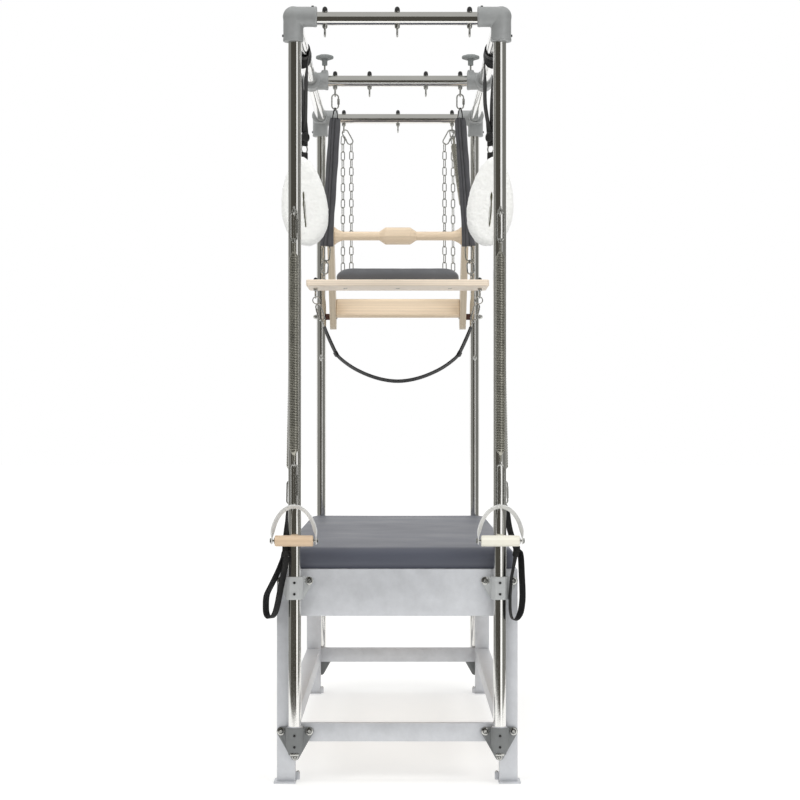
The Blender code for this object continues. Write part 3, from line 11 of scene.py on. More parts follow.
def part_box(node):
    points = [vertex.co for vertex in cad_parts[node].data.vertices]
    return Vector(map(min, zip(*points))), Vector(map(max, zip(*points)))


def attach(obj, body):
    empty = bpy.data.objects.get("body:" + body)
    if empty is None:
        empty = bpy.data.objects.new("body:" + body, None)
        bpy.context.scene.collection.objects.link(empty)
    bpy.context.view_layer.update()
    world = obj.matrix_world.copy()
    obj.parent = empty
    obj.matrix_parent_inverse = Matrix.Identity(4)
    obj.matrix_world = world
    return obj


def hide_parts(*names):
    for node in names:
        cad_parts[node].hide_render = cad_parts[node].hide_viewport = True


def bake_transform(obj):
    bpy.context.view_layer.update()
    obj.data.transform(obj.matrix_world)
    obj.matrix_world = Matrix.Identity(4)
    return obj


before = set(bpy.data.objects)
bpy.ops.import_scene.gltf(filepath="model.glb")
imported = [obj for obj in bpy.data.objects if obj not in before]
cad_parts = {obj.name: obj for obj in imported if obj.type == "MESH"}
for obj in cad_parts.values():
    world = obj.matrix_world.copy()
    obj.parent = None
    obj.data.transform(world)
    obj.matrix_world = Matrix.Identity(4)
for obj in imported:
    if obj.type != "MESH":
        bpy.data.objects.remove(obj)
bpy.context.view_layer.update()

bl_info = {
    "name": "Pilates trapeze table",
    "version": (1, 0, 0),
    "blender": (4, 5, 0),
    "location": "3D View > Sidebar > Trapeze table",
    "description": "Models a pilates trapeze table, piece by piece, around its packed frame",
    "category": "Add Mesh",
}

# Where the frame stands
NEAR_Y, FAR_Y = -1.049, 1.081
POST_X, RAIL_Z, TUBE_RADIUS = 0.2975, 2.224, 0.01905
POST_FOOT, POST_HEAD = 0.100, 2.199
FRAME_TOP, DEEP_BOTTOM = 0.624, 0.487
LOW_BOTTOM, LOW_TOP = 0.121, 0.175
OUTER_X, INNER_X = 0.351, 0.298
SIDE_BAR_NEAR, SIDE_BAR_FAR = -0.9707, 1.0027
RAIL_EYE_X, HANGER_X, KNOB_X, SLIDER_Y = 0.21, 0.2155, 0.2515, 0.131
SEAT_TOP, SEAT_BOTTOM = 1.532, 1.510
SEAT_HOLD_X, SEAT_END_X = 0.253, 0.283
PIVOT_Z, BAR_LEAN, BAR_LENGTH = 1.455, math.radians(48), 0.430
BAR_EYE_X, BAR_EYE_Z = 0.251, 0.479
ARM_SPRING_Y, ARM_EYE_Z, GRIP_Z = -1.09455, 1.662, 0.710
LEG_SPRING_Y, LEG_EYE_Z = -1.00745, 1.612
CUFF_Y, CUFF_Z, SLIT_Z, STRANDS_Z = -0.419, 1.7555, 1.7250, 1.974
CHAIN_Y, CHAIN_TOP, CHAIN_TURN_Z = 1.0838, 2.128, 1.6205
SIDES = {"left": -1, "right": 1}
# Each end's post axis, and the way from it to the middle of the table
ENDS = {"near": (NEAR_Y, 1), "far": (FAR_Y, -1)}
X, Y, Z = Vector((1, 0, 0)), Vector((0, 1, 0)), Vector((0, 0, 1))


def at(x, y, z):
    return Matrix.Translation((x, y, z))


PUSH_BAR = at(0, FAR_Y, PIVOT_Z) @ Matrix.Rotation(BAR_LEAN, 4, "X")


# Colours
def linear(code):
    """Turns an sRGB hex colour into the linear colour that a shader takes."""
    parts = [int(code[place:place + 2], 16) / 255 for place in (1, 3, 5)]
    return tuple(p / 12.92 if p <= 0.04045 else ((p + 0.055) / 1.055) ** 2.4 for p in parts) + (1.0,)


def colour(name, code):
    return FloatVectorProperty(
        name=name, description=f"Colour of the {name.lower()}", subtype="COLOR", size=4,
        min=0.0, max=1.0, default=linear(code),
    )


def length(name, description, default):
    return FloatProperty(name=name, description=description, default=default, min=0.0, unit="LENGTH")


class TrapezeFrameSizes(bpy.types.PropertyGroup):
    bar_rounding: length("Bar rounding", "Radius on the edges of the square bars", 0.003)
    casting_rounding: length("Casting rounding", "Radius on the edges of the brackets", 0.0016)
    casting_grain: length("Casting voxel", "Size of the cells that soften the cast elbows", 0.0022)
    tube_sides: IntProperty(name="Tube sides", description="Faces round a tube", default=48, min=12)


class TrapezeSoftSizes(bpy.types.PropertyGroup):
    mattress_cell: length("Mattress cell", "Size of the faces that the mattress is swelled from", 0.014)
    mattress_swell: length("Mattress swell", "How far the mattress cover may swell", 0.003)
    pad_cell: length("Seat pad cell", "Size of the faces that the seat pad is swelled from", 0.005)
    pad_swell: length("Seat pad swell", "How far the seat pad's cover may swell", 0.009)
    pressure: FloatProperty(name="Pressure", description="Pressure inside the padding", default=4.0)
    fleece_cell: length("Fleece cell", "Size of the faces that the fleece is raised from", 0.0024)
    curl_height: length("Curl height", "How far the curls of the fleece stand up", 0.005)
    webbing: length("Webbing thickness", "Thickness of the straps", 0.003)


class TrapezeHardwareSizes(bpy.types.PropertyGroup):
    spring_radius: length("Spring radius", "Outer radius of the springs", 0.014)
    spring_wire: length("Spring wire", "Radius of the wire of the springs", 0.0022)
    spring_pitch: length("Spring pitch", "Distance from turn to turn", 0.0047)
    chain_pitch: length("Chain pitch", "Distance from link to link", 0.030)
    chain_wire: length("Chain wire", "Radius of the wire of the chains", 0.002)
    hook_wire: length("Hook wire", "Radius of the wire of the hooks and quick links", 0.0025)


class TrapezeColours(bpy.types.PropertyGroup):
    aluminium: colour("Aluminium bars", "#d3d5d9")
    tube: colour("Bright tube", "#ecebe8")
    casting: colour("Castings", "#a6a8a8")
    pale_casting: colour("Upper brackets", "#b4b6b6")
    low_casting: colour("Lower brackets", "#7a7c7c")
    zinc: colour("Zinc-plated fittings", "#c9c9c5")
    bow: colour("Handle bows", "#e8e8e6")
    spring: colour("Spring wire", "#b4b2a7")
    maple: colour("Maple handle and shelf", "#e4cfb3")
    arms: colour("Maple arms", "#cebfa8")
    plywood: colour("Plywood", "#f0e0cc")
    mattress: colour("Mattress", "#525560")
    seat: colour("Seat pad", "#5e5f62")
    sleeve: colour("Sleeves", "#444447")
    webbing: colour("Webbing", "#131313")
    fleece: colour("Fleece", "#f0f0ed")
    suede: colour("Suede", "#6b6a4a")
    knob: colour("Knobs", "#7c807f")
    dome_nut: colour("Dome nuts", "#262626")
    spacer: colour("Spacers", "#4a2a20")
    left_grip: colour("Left grip", "#dfc4a5")
    right_grip: colour("Right grip", "#fbf5e4")
    floor: colour("Floor", "#cdcdcb")


# Finishes
def add(tree, kind, inputs=(), out=0, **settings):
    """Adds one shader node, sets it, feeds its inputs with values or outputs, and gives back one output."""
    node = tree.nodes.new("ShaderNode" + kind)
    for name, value in settings.items():
        setattr(node, name, value)
    for place, value in inputs.items() if isinstance(inputs, dict) else enumerate(inputs):
        if isinstance(value, bpy.types.NodeSocket):
            tree.links.new(value, node.inputs[place])
        else:
            node.inputs[place].default_value = value
    return node.outputs[out] if node.outputs else node


def finish(make):
    """Makes a material the first time that a piece asks for it, under its function's name."""
    def found():
        name = make.__name__
        if name not in bpy.data.materials:
            material = bpy.data.materials.new(name)
            material.use_nodes = True
            tree = material.node_tree
            tree.nodes.clear()
            shader = add(tree, "BsdfPrincipled", make(tree, bpy.context.scene.trapeze_colours))
            add(tree, "OutputMaterial", (shader,))
        return bpy.data.materials[name]
    return found


def shade(colour, factor):
    """A lighter or darker version of a colour."""
    return tuple(min(1.0, part * factor) for part in colour[:3]) + (1.0,)


@finish
def brushed_aluminium(tree, colours):
    """Extruded aluminium bar with a brushed, clear-anodised skin: pale, cloudy and softly glossy."""
    where = add(tree, "TexCoord", out="Object")
    clouds = add(tree, "TexNoise", {"Vector": where, "Scale": 24.0, "Detail": 6.0, "Roughness": 0.65})
    # The brush lines are 0.3 mm apart on the real bar and are drawn 2 mm apart so that they show.
    drawn = add(tree, "Mapping", {"Vector": where, "Scale": (0.2, 0.2, 0.002)}, vector_type="TEXTURE")
    lines = add(tree, "TexNoise", {"Vector": drawn, "Scale": 1.0, "Detail": 2.0})
    pale, dull = shade(colours.aluminium, 1.16), shade(colours.aluminium, 0.8)
    return {
        "Base Color": add(tree, "Mix", {0: clouds, 6: dull, 7: pale}, 2, data_type="RGBA"),
        "Metallic": 0.3,
        "Roughness": add(tree, "MapRange", (clouds, 0.3, 0.7, 0.36, 0.5)),
        "Normal": add(tree, "Bump", {"Height": lines, "Strength": 0.1, "Distance": 0.0004}),
    }


def drawn_tube(tree, colours, run):
    """Drawn steel tube, polished and chromed: long mirror bands, and draw lines that barely show."""
    where = add(tree, "TexCoord", out="Object")
    # Draw lines are far finer than a millimetre, and are drawn 4 mm wide and half a metre long.
    drawn = add(tree, "Mapping", {"Vector": where, "Scale": run}, vector_type="TEXTURE")
    lines = add(tree, "TexNoise", {"Vector": drawn, "Scale": 1.0, "Detail": 3.0})
    clouds = add(tree, "TexNoise", {"Vector": where, "Scale": 7.0, "Detail": 3.0})
    pale, dull = shade(colours.tube, 1.1), shade(colours.tube, 0.9)
    return {
        "Base Color": add(tree, "Mix", {0: clouds, 6: dull, 7: pale}, 2, data_type="RGBA"),
        "Metallic": 1.0,
        "Roughness": add(tree, "MapRange", (lines, 0.3, 0.7, 0.07, 0.14)),
        "Normal": add(tree, "Bump", {"Height": lines, "Strength": 0.012, "Distance": 0.0002}),
    }


@finish
def bright_post_tube(tree, colours):
    """The drawn tube of the posts, its lines upright."""
    return drawn_tube(tree, colours, (0.004, 0.004, 0.5))


@finish
def bright_side_tube(tree, colours):
    """The drawn tube of the long rails."""
    return drawn_tube(tree, colours, (0.004, 0.5, 0.004))


@finish
def bright_cross_tube(tree, colours):
    """The drawn tube of the short rails and the slider."""
    return drawn_tube(tree, colours, (0.5, 0.004, 0.004))


def casting(tree, colour, metal=0.25):
    """Sand-cast aluminium, tumbled: an even grey with a fine grit, rubbed pale along its edges."""
    where = add(tree, "TexCoord", out="Object")
    # The grit is 0.4 mm on the real casting and is drawn 1.5 mm so that it shows.
    grit = add(tree, "TexNoise", {"Vector": where, "Scale": 650.0, "Detail": 3.0, "Roughness": 0.65})
    clouds = add(tree, "TexNoise", {"Vector": where, "Scale": 38.0, "Detail": 4.0})
    edges = add(tree, "MapRange", (add(tree, "NewGeometry", out="Pointiness"), 0.52, 0.62, 0.0, 1.0))
    pale, dull, rubbed = (shade(colour, factor) for factor in (1.14, 0.84, 1.4))
    body = add(tree, "Mix", {0: clouds, 6: dull, 7: pale}, 2, data_type="RGBA")
    smoothest = 0.68 - metal / 2
    return {
        "Base Color": add(tree, "Mix", {0: edges, 6: body, 7: rubbed}, 2, data_type="RGBA"),
        "Metallic": metal,
        "Roughness": add(tree, "MapRange", (grit, 0.3, 0.7, smoothest, smoothest + 0.14)),
        "Normal": add(tree, "Bump", {"Height": grit, "Strength": 0.15, "Distance": 0.0005}),
    }


@finish
def sand_cast_aluminium(tree, colours):
    """The castings of the elbows and the clamps."""
    return casting(tree, colours.casting, 0.45)


@finish
def pale_casting(tree, colours):
    """The upper brackets, tumbled paler."""
    return casting(tree, colours.pale_casting)


@finish
def dull_casting(tree, colours):
    """The lower brackets, in a darker grey than the other castings."""
    return casting(tree, colours.low_casting)


@finish
def zinc_plated_steel(tree, colours):
    """Steel wire and bolts with a bright zinc skin: crisp highlights, slightly cloudy."""
    where = add(tree, "TexCoord", out="Object")
    clouds = add(tree, "TexNoise", {"Vector": where, "Scale": 160.0, "Detail": 4.0})
    pale, dull = shade(colours.zinc, 1.2), shade(colours.zinc, 0.7)
    return {
        "Base Color": add(tree, "Mix", {0: clouds, 6: dull, 7: pale}, 2, data_type="RGBA"),
        "Metallic": 1.0,
        "Roughness": add(tree, "MapRange", (clouds, 0.3, 0.7, 0.2, 0.34)),
        "Normal": add(tree, "Bump", {"Height": clouds, "Strength": 0.08, "Distance": 0.0003}),
    }


@finish
def polished_bow_steel(tree, colours):
    """Flat steel, polished and half brushed: a pale even gloss with lines along the bend."""
    where = add(tree, "TexCoord", out="Object")
    # Brush lines are finer than 0.2 mm and are drawn 1.5 mm wide so that they show.
    brushed = add(tree, "Mapping", {"Vector": where, "Scale": (0.05, 0.0015, 0.05)}, vector_type="TEXTURE")
    lines = add(tree, "TexNoise", {"Vector": brushed, "Scale": 1.0, "Detail": 2.0})
    pale, dull = shade(colours.bow, 1.1), shade(colours.bow, 0.85)
    return {
        "Base Color": add(tree, "Mix", {0: lines, 6: dull, 7: pale}, 2, data_type="RGBA"),
        "Metallic": 0.3,
        "Roughness": add(tree, "MapRange", (lines, 0.3, 0.7, 0.28, 0.4)),
        "Normal": add(tree, "Bump", {"Height": lines, "Strength": 0.1, "Distance": 0.0003}),
    }


@finish
def oiled_spring_wire(tree, colours):
    """Hard-drawn spring wire, oiled: dark olive grey with a bright line on every turn."""
    where = add(tree, "TexCoord", out="Object")
    stains = add(tree, "TexNoise", {"Vector": where, "Scale": 45.0, "Detail": 4.0})
    pale, dull = shade(colours.spring, 1.3), shade(colours.spring, 0.6)
    return {
        "Base Color": add(tree, "Mix", {0: stains, 6: dull, 7: pale}, 2, data_type="RGBA"),
        "Metallic": 0.9,
        "Roughness": add(tree, "MapRange", (stains, 0.3, 0.7, 0.2, 0.34)),
        "Normal": add(tree, "Bump", {"Height": stains, "Strength": 0.05, "Distance": 0.0003}),
    }


def wood(tree, colour, turn, gloss):
    """Wood sanded and lacquered, its grain along Z before the turn: long figure, fine pores."""
    where = add(tree, "TexCoord", out="Object")
    # Growth rings stand about 6 mm apart, and a pore is 0.3 mm wide and 8 mm long, drawn 1 mm wide.
    along, across, fine = (
        add(tree, "Mapping", {"Vector": where, "Rotation": turn, "Scale": scale}, vector_type="TEXTURE")
        for scale in ((0.02, 0.02, 0.3), (0.038, 0.038, 0.9), (0.001, 0.001, 0.012))
    )
    figure = add(tree, "TexNoise", {"Vector": along, "Scale": 1.0, "Detail": 3.0, "Distortion": 0.6})
    rings = add(
        tree, "TexWave",
        {"Vector": across, "Scale": 1.0, "Distortion": 5.0, "Detail": 3.0, "Detail Scale": 1.2}, "Fac",
    )
    pores = add(tree, "TexNoise", {"Vector": fine, "Scale": 1.0, "Detail": 2.0})
    late = add(tree, "MapRange", (rings, 0.1, 0.9, 0.0, 0.4))
    open_pores = add(tree, "MapRange", (pores, 0.62, 0.75, 0.0, 0.45))
    pale, dull, ring, pore = (shade(colour, factor) for factor in (1.14, 0.82, 0.8, 0.6))
    body = add(tree, "Mix", {0: figure, 6: dull, 7: pale}, 2, data_type="RGBA")
    ringed = add(tree, "Mix", {0: late, 6: body, 7: ring}, 2, data_type="RGBA")
    return {
        "Base Color": add(tree, "Mix", {0: open_pores, 6: ringed, 7: pore}, 2, data_type="RGBA"),
        "Roughness": add(tree, "MapRange", (pores, 0.3, 0.7, gloss, gloss + 0.12)),
        "Coat Weight": 0.12,
        "Coat Roughness": 0.3,
        "Normal": add(tree, "Bump", {"Height": pores, "Strength": 0.12, "Distance": 0.0004}),
    }


@finish
def lacquered_maple_arms(tree, colours):
    """Sawn maple, its grain along the leaning arms."""
    return wood(tree, colours.arms, (BAR_LEAN, 0, 0), 0.38)


@finish
def lacquered_maple_handle(tree, colours):
    """Turned maple, its grain along the handle and the shelf."""
    return wood(tree, colours.maple, (0, math.radians(90), 0), 0.34)


@finish
def turned_beech_grip(tree, colours):
    """Turned beech, worn smooth by hands, with a warm pink tone."""
    return wood(tree, colours.left_grip, (0, math.radians(90), 0), 0.42)


@finish
def turned_maple_grip(tree, colours):
    """Turned maple, paler than its partner."""
    return wood(tree, colours.right_grip, (0, math.radians(90), 0), 0.42)


@finish
def birch_plywood(tree, colours):
    """Lacquered birch plywood: a calm face, and thin light and dark layers along its edge."""
    where = add(tree, "TexCoord", out="Object")
    # Real layers are 1.5 mm thick, and are drawn 3.5 mm so that they show.
    layers = add(
        tree, "TexWave", {"Vector": where, "Scale": 45.0, "Distortion": 0.4, "Detail": 1.0}, "Fac",
        bands_direction="Z",
    )
    long = add(tree, "Mapping", {"Vector": where, "Scale": (0.25, 0.02, 0.02)}, vector_type="TEXTURE")
    figure = add(tree, "TexNoise", {"Vector": long, "Scale": 1.0, "Detail": 4.0})
    upward = add(tree, "SeparateXYZ", (add(tree, "TexCoord", out="Normal"),), "Z")
    flat = add(tree, "Math", (upward,), operation="ABSOLUTE")
    edge = add(tree, "MapRange", (flat, 0.4, 0.8, 0.3, 0.0))
    layer = add(tree, "Math", (layers, edge), operation="MULTIPLY")
    pale, dull, cross = (shade(colours.plywood, factor) for factor in (1.12, 0.86, 0.6))
    body = add(tree, "Mix", {0: figure, 6: dull, 7: pale}, 2, data_type="RGBA")
    return {
        "Base Color": add(tree, "Mix", {0: layer, 6: body, 7: cross}, 2, data_type="RGBA"),
        "Roughness": add(tree, "MapRange", (figure, 0.3, 0.7, 0.4, 0.55)),
        "Coat Weight": 0.1,
        "Coat Roughness": 0.35,
        "Normal": add(tree, "Bump", {"Height": figure, "Strength": 0.08, "Distance": 0.0003}),
    }


def vinyl(tree, colour):
    """Coated upholstery cloth: a matt skin pressed with a leather grain, its creases darkened a little with
    painted shade.
    """
    where = add(tree, "TexCoord", out="Object")
    # The grain is 0.8 mm on the real cloth and is drawn 2 mm so that it shows.
    grain = add(
        tree, "TexVoronoi", {"Vector": where, "Scale": 500.0}, "Distance", feature="DISTANCE_TO_EDGE"
    )
    stretch = add(tree, "TexNoise", {"Vector": where, "Scale": 5.0, "Detail": 3.0})
    waves = add(tree, "TexNoise", {"Vector": where, "Scale": 14.0, "Detail": 2.0})
    raised = add(tree, "MapRange", (grain, 0.0, 0.2, 0.0, 1.0))
    # The grain's creases are darkened a little: painted shade.
    creases = add(tree, "MapRange", (grain, 0.0, 0.1, 0.35, 0.0))
    pressed = add(tree, "Bump", {"Height": raised, "Strength": 0.12, "Distance": 0.0004})
    pale, dull, crease = (shade(colour, factor) for factor in (1.07, 0.93, 0.8))
    body = add(tree, "Mix", {0: stretch, 6: dull, 7: pale}, 2, data_type="RGBA")
    rolling = {"Height": waves, "Strength": 0.07, "Distance": 0.002, "Normal": pressed}
    return {
        "Base Color": add(tree, "Mix", {0: creases, 6: body, 7: crease}, 2, data_type="RGBA"),
        "Roughness": add(tree, "MapRange", (stretch, 0.3, 0.7, 0.42, 0.52)),
        "Sheen Weight": 0.06,
        "Normal": add(tree, "Bump", rolling),
    }


@finish
def grey_mattress_vinyl(tree, colours):
    """Cool grey coated cloth, stretched flat over the long pad."""
    return vinyl(tree, colours.mattress)


@finish
def dark_seat_vinyl(tree, colours):
    """The same cloth in a darker grey, on the swing's pad."""
    return vinyl(tree, colours.seat)


@finish
def padded_sleeve_cloth(tree, colours):
    """Plain-woven nylon, dark grey with a dull sheen on its folds."""
    where = add(tree, "TexCoord", out="Object")
    # Threads lie 0.5 mm apart and are drawn 2 mm apart so that the weave shows.
    threaded = {"Vector": where, "Scale": 80.0, "Distortion": 0.3}
    warp, weft = (add(tree, "TexWave", threaded, "Fac", bands_direction=way) for way in ("X", "Z"))
    weave = add(tree, "Math", (warp, weft), operation="MULTIPLY")
    folds = add(tree, "TexNoise", {"Vector": where, "Scale": 30.0, "Detail": 3.0})
    threads = add(tree, "MapRange", (weave, 0.1, 0.9, 0.0, 0.4))
    # The darkest tone here is the painted shade laid into the creases.
    pale, dull, thread, dark = (shade(colours.sleeve, factor) for factor in (1.5, 0.6, 1.6, 0.2))
    body = add(tree, "Mix", {0: folds, 6: dull, 7: pale}, 2, data_type="RGBA")
    woven = add(tree, "Mix", {0: threads, 6: body, 7: thread}, 2, data_type="RGBA")
    # Painted shade: the creases, where the pointiness is low, are darkened and stay the darkest part.
    hollow_shade = add(tree, "MapRange", (add(tree, "NewGeometry", out="Pointiness"), 0.455, 0.503, 0.92, 0.0))
    return {
        "Base Color": add(tree, "Mix", {0: hollow_shade, 6: woven, 7: dark}, 2, data_type="RGBA"),
        "Roughness": add(tree, "MapRange", (folds, 0.3, 0.7, 0.55, 0.7)),
        "Sheen Weight": 0.3,
        "Sheen Roughness": 0.5,
        "Normal": add(tree, "Bump", {"Height": weave, "Strength": 0.3, "Distance": 0.0005}),
    }


@finish
def nylon_webbing(tree, colours):
    """Black nylon webbing: ribs across the strap, and a row of threads along it."""
    along = add(tree, "TexCoord", out="UV")
    # Ribs lie 1.2 mm apart and are drawn 3 mm apart; the pattern follows the strap's own metres.
    ribs = add(tree, "TexWave", {"Vector": along, "Scale": 52.0, "Distortion": 0.2}, "Fac")
    threads = add(
        tree, "TexWave", {"Vector": along, "Scale": 110.0, "Distortion": 0.4}, "Fac", bands_direction="Y"
    )
    weave = add(tree, "Math", (ribs, threads), operation="ADD")
    share = add(tree, "MapRange", (weave, 0.4, 1.8, 0.0, 1.0))
    pale, dull = shade(colours.webbing, 1.9), shade(colours.webbing, 0.7)
    return {
        "Base Color": add(tree, "Mix", {0: share, 6: dull, 7: pale}, 2, data_type="RGBA"),
        "Roughness": add(tree, "MapRange", (weave, 0.4, 1.8, 0.6, 0.75)),
        "Sheen Weight": 0.06,
        "Normal": add(tree, "Bump", {"Height": weave, "Strength": 0.4, "Distance": 0.0004}),
    }


@finish
def white_sheepskin(tree, colours):
    """Shorn lambskin: dense white curls with painted soft grey shade in their hollows and painted light on
    their tops, and a halo of fine hair.
    """
    where = add(tree, "TexCoord", out="Object")
    # Curls are 4 to 8 mm across, and single hairs are drawn 2 mm wide so that they show.
    curled = {"Vector": where, "Scale": 150.0, "Detail": 3.0, "Roughness": 0.6, "Distortion": 1.5}
    curls = add(tree, "TexNoise", curled)
    hairs = add(tree, "TexNoise", {"Vector": where, "Scale": 500.0, "Detail": 2.0})
    relief = add(tree, "Bump", {"Height": hairs, "Strength": 0.2, "Distance": 0.001})
    raised = {"Height": curls, "Strength": 0.25, "Distance": 0.002, "Normal": relief}
    # The colour follows the curls' height, as the bump does: painted shade in the hollows, painted light on
    # the tops.
    pale, hollow_shade = shade(colours.fleece, 1.05), shade(colours.fleece, 0.94)
    return {
        "Base Color": add(tree, "Mix", {0: curls, 6: hollow_shade, 7: pale}, 2, data_type="RGBA"),
        "Roughness": add(tree, "MapRange", (hairs, 0.3, 0.7, 0.85, 0.98)),
        "Sheen Weight": 0.5,
        "Sheen Roughness": 0.5,
        "Subsurface Weight": 0.25,
        "Subsurface Radius": (0.006, 0.006, 0.006),
        "Normal": add(tree, "Bump", raised),
    }


@finish
def olive_suede(tree, colours):
    """The hide's back, left as suede: olive, matt, brushed in patches."""
    where = add(tree, "TexCoord", out="Object")
    nap = add(tree, "TexNoise", {"Vector": where, "Scale": 120.0, "Detail": 4.0})
    pale, dull = shade(colours.suede, 1.6), shade(colours.suede, 0.4)
    return {
        "Base Color": add(tree, "Mix", {0: nap, 6: dull, 7: pale}, 2, data_type="RGBA"),
        "Roughness": add(tree, "MapRange", (nap, 0.3, 0.7, 0.8, 0.95)),
        "Sheen Weight": 0.3,
        "Normal": add(tree, "Bump", {"Height": nap, "Strength": 0.3, "Distance": 0.0008}),
    }


def moulded(tree, colour, gloss):
    """A moulded part: even colour with a spark-eroded skin, a little smoother where hands rub it."""
    where = add(tree, "TexCoord", out="Object")
    # The skin's texture is 0.3 mm and is drawn 1.2 mm so that it shows.
    skin = add(tree, "TexNoise", {"Vector": where, "Scale": 800.0, "Detail": 2.0})
    rub = add(tree, "TexNoise", {"Vector": where, "Scale": 60.0, "Detail": 3.0})
    pale, dull = shade(colour, 1.25), shade(colour, 0.75)
    return {
        "Base Color": add(tree, "Mix", {0: rub, 6: dull, 7: pale}, 2, data_type="RGBA"),
        "Roughness": add(tree, "MapRange", (rub, 0.3, 0.7, gloss - 0.08, gloss + 0.08)),
        "Normal": add(tree, "Bump", {"Height": skin, "Strength": 0.15, "Distance": 0.0003}),
    }


@finish
def moulded_nylon_knob(tree, colours):
    """Glass-filled nylon: dark grey and half matt."""
    return moulded(tree, colours.knob, 0.45)


@finish
def black_nylon_nut(tree, colours):
    """Black nylon with a glossy skin."""
    return moulded(tree, colours.dome_nut, 0.35)


@finish
def vulcanised_fibre(tree, colours):
    """Pressed red-brown fibre, matt."""
    return moulded(tree, colours.spacer, 0.6)


# Modelling
def within(share):
    """A share held between 0 and 1."""
    return max(0.0, min(1.0, share))


def eased(share):
    """A share that starts and ends gently."""
    return share * share * (3 - 2 * share)


def take(obj):
    """Makes one object the only one that the next operator works on."""
    for other in bpy.context.selected_objects:
        other.select_set(False)
    if obj:
        obj.select_set(True)
    bpy.context.view_layer.objects.active = obj


@contextmanager
def editing(obj):
    take(obj)
    bpy.ops.object.mode_set(mode="EDIT")
    bpy.ops.mesh.select_all(action="SELECT")
    yield
    bpy.ops.object.mode_set(mode="OBJECT")


def face_outwards():
    """Turns every face of the mesh outwards, in edit mode."""
    bpy.ops.mesh.select_all(action="SELECT")
    bpy.ops.mesh.normals_make_consistent(inside=False)


def choose(kind, test):
    """Selects the vertices, edges or faces that pass a test, in edit mode."""
    bpy.ops.mesh.select_mode(type=kind)
    bpy.ops.mesh.select_all(action="DESELECT")
    mesh = bpy.context.edit_object.data
    shape = bmesh.from_edit_mesh(mesh)
    for item in {"VERT": shape.verts, "EDGE": shape.edges, "FACE": shape.faces}[kind]:
        if test(item):
            item.select_set(True)
    bmesh.update_edit_mesh(mesh)


def fresh(primitive, **settings):
    """Adds one primitive with nothing else selected, and puts its place into its mesh."""
    take(None)
    primitive(**settings)
    bpy.ops.object.transform_apply(location=True, rotation=True, scale=True)
    return bpy.context.object


def modified(obj, kind, **settings):
    """Adds one modifier, sets it and applies it."""
    modifier = obj.modifiers.new(kind.title(), kind)
    for name, value in settings.items():
        setattr(modifier, name, value)
    take(obj)
    bpy.ops.object.modifier_apply(modifier=modifier.name)
    return obj


def rounded(obj, radius, steps=2, angle=30):
    return modified(
        obj, "BEVEL", width=radius, segments=steps, limit_method="ANGLE", angle_limit=math.radians(angle)
    )


def coated(obj, material):
    obj.data.materials.clear()
    obj.data.materials.append(material)
    return obj


def moved(obj, matrix):
    """Puts a piece in place within its own mesh, and turns a mirrored one right side out."""
    take(obj)
    obj.matrix_world = matrix @ obj.matrix_world
    bpy.ops.object.transform_apply(location=True, rotation=True, scale=True)
    if matrix.determinant() < 0:
        with editing(obj):
            bpy.ops.mesh.flip_normals()
    return obj


def repeated(master, matrices):
    """Puts one model at every place, the last one the model itself."""
    made = []
    for matrix in matrices[:-1]:
        take(master)
        bpy.ops.object.duplicate(linked=False)
        made.append(moved(bpy.context.object, matrix))
    return made + [moved(master, matrices[-1])]


def joined(*parts):
    take(parts[0])
    for part in parts[1:]:
        part.select_set(True)
    if len(parts) > 1:
        bpy.ops.object.join()
    return parts[0]


def stand(origin, along, across):
    """A place whose Z runs along one direction and whose X lies nearest to another."""
    up = Vector(along).normalized()
    side = up.cross(Vector(across)).normalized()
    turn = Matrix((side.cross(up), side, up)).transposed().to_4x4()
    return Matrix.Translation(origin) @ turn


def cut(obj, *tools):
    """Cuts tools out of a solid."""
    for tool in tools:
        modified(obj, "BOOLEAN", operation="DIFFERENCE", solver="EXACT", object=tool)
        bpy.data.objects.remove(tool)
    return obj


def bar(low, high, rounding=0.0, steps=2):
    """A bar between two corners, its edges rounded in edit mode."""
    low, high = Vector(low), Vector(high)
    corner = Vector(min(pair) for pair in zip(low, high))
    size = Vector(abs(part) for part in high - low)
    obj = fresh(bpy.ops.mesh.primitive_cube_add, size=1, location=corner + size / 2, scale=size)
    if rounding:
        with editing(obj):
            bpy.ops.mesh.bevel(offset=rounding, segments=steps, affect="EDGES")
    return obj


def turned(rings, sides=48):
    """Extrudes a disc upwards through rings of (height, radius), as on a lathe."""
    height, radius = rings[0]
    obj = fresh(
        bpy.ops.mesh.primitive_circle_add, vertices=sides, radius=radius, fill_type="NGON",
        location=(0, 0, height),
    )
    with editing(obj):
        for next_height, next_radius in rings[1:]:
            step = (0, 0, next_height - height)
            bpy.ops.mesh.extrude_region_move(TRANSFORM_OT_translate={"value": step})
            share = next_radius / radius
            if share != 1:
                bpy.ops.transform.resize(value=(share, share, 1), center_override=(0, 0, next_height))
            height, radius = next_height, next_radius
        face_outwards()
    return obj


def rod(start, end, radius, chamfer=0.0005, sides=48):
    """A round bar from point to point with chamfered ends."""
    start, end = Vector(start), Vector(end)
    span = (end - start).length
    obj = turned(
        [(0, radius - chamfer), (chamfer, radius), (span - chamfer, radius), (span, radius - chamfer)], sides
    )
    along = end - start
    return moved(obj, stand(start, along, Y if abs(along.normalized().x) > 0.9 else X))


def torus(radius, wire, steps=24, sides=10):
    """A ring about the origin in the XZ plane, no row of its vertices on the X axis."""
    return fresh(
        bpy.ops.mesh.primitive_torus_add, major_segments=steps, minor_segments=sides, major_radius=radius,
        minor_radius=wire, location=(0, 0, 0), rotation=(math.radians(90), math.pi / steps, 0),
    )


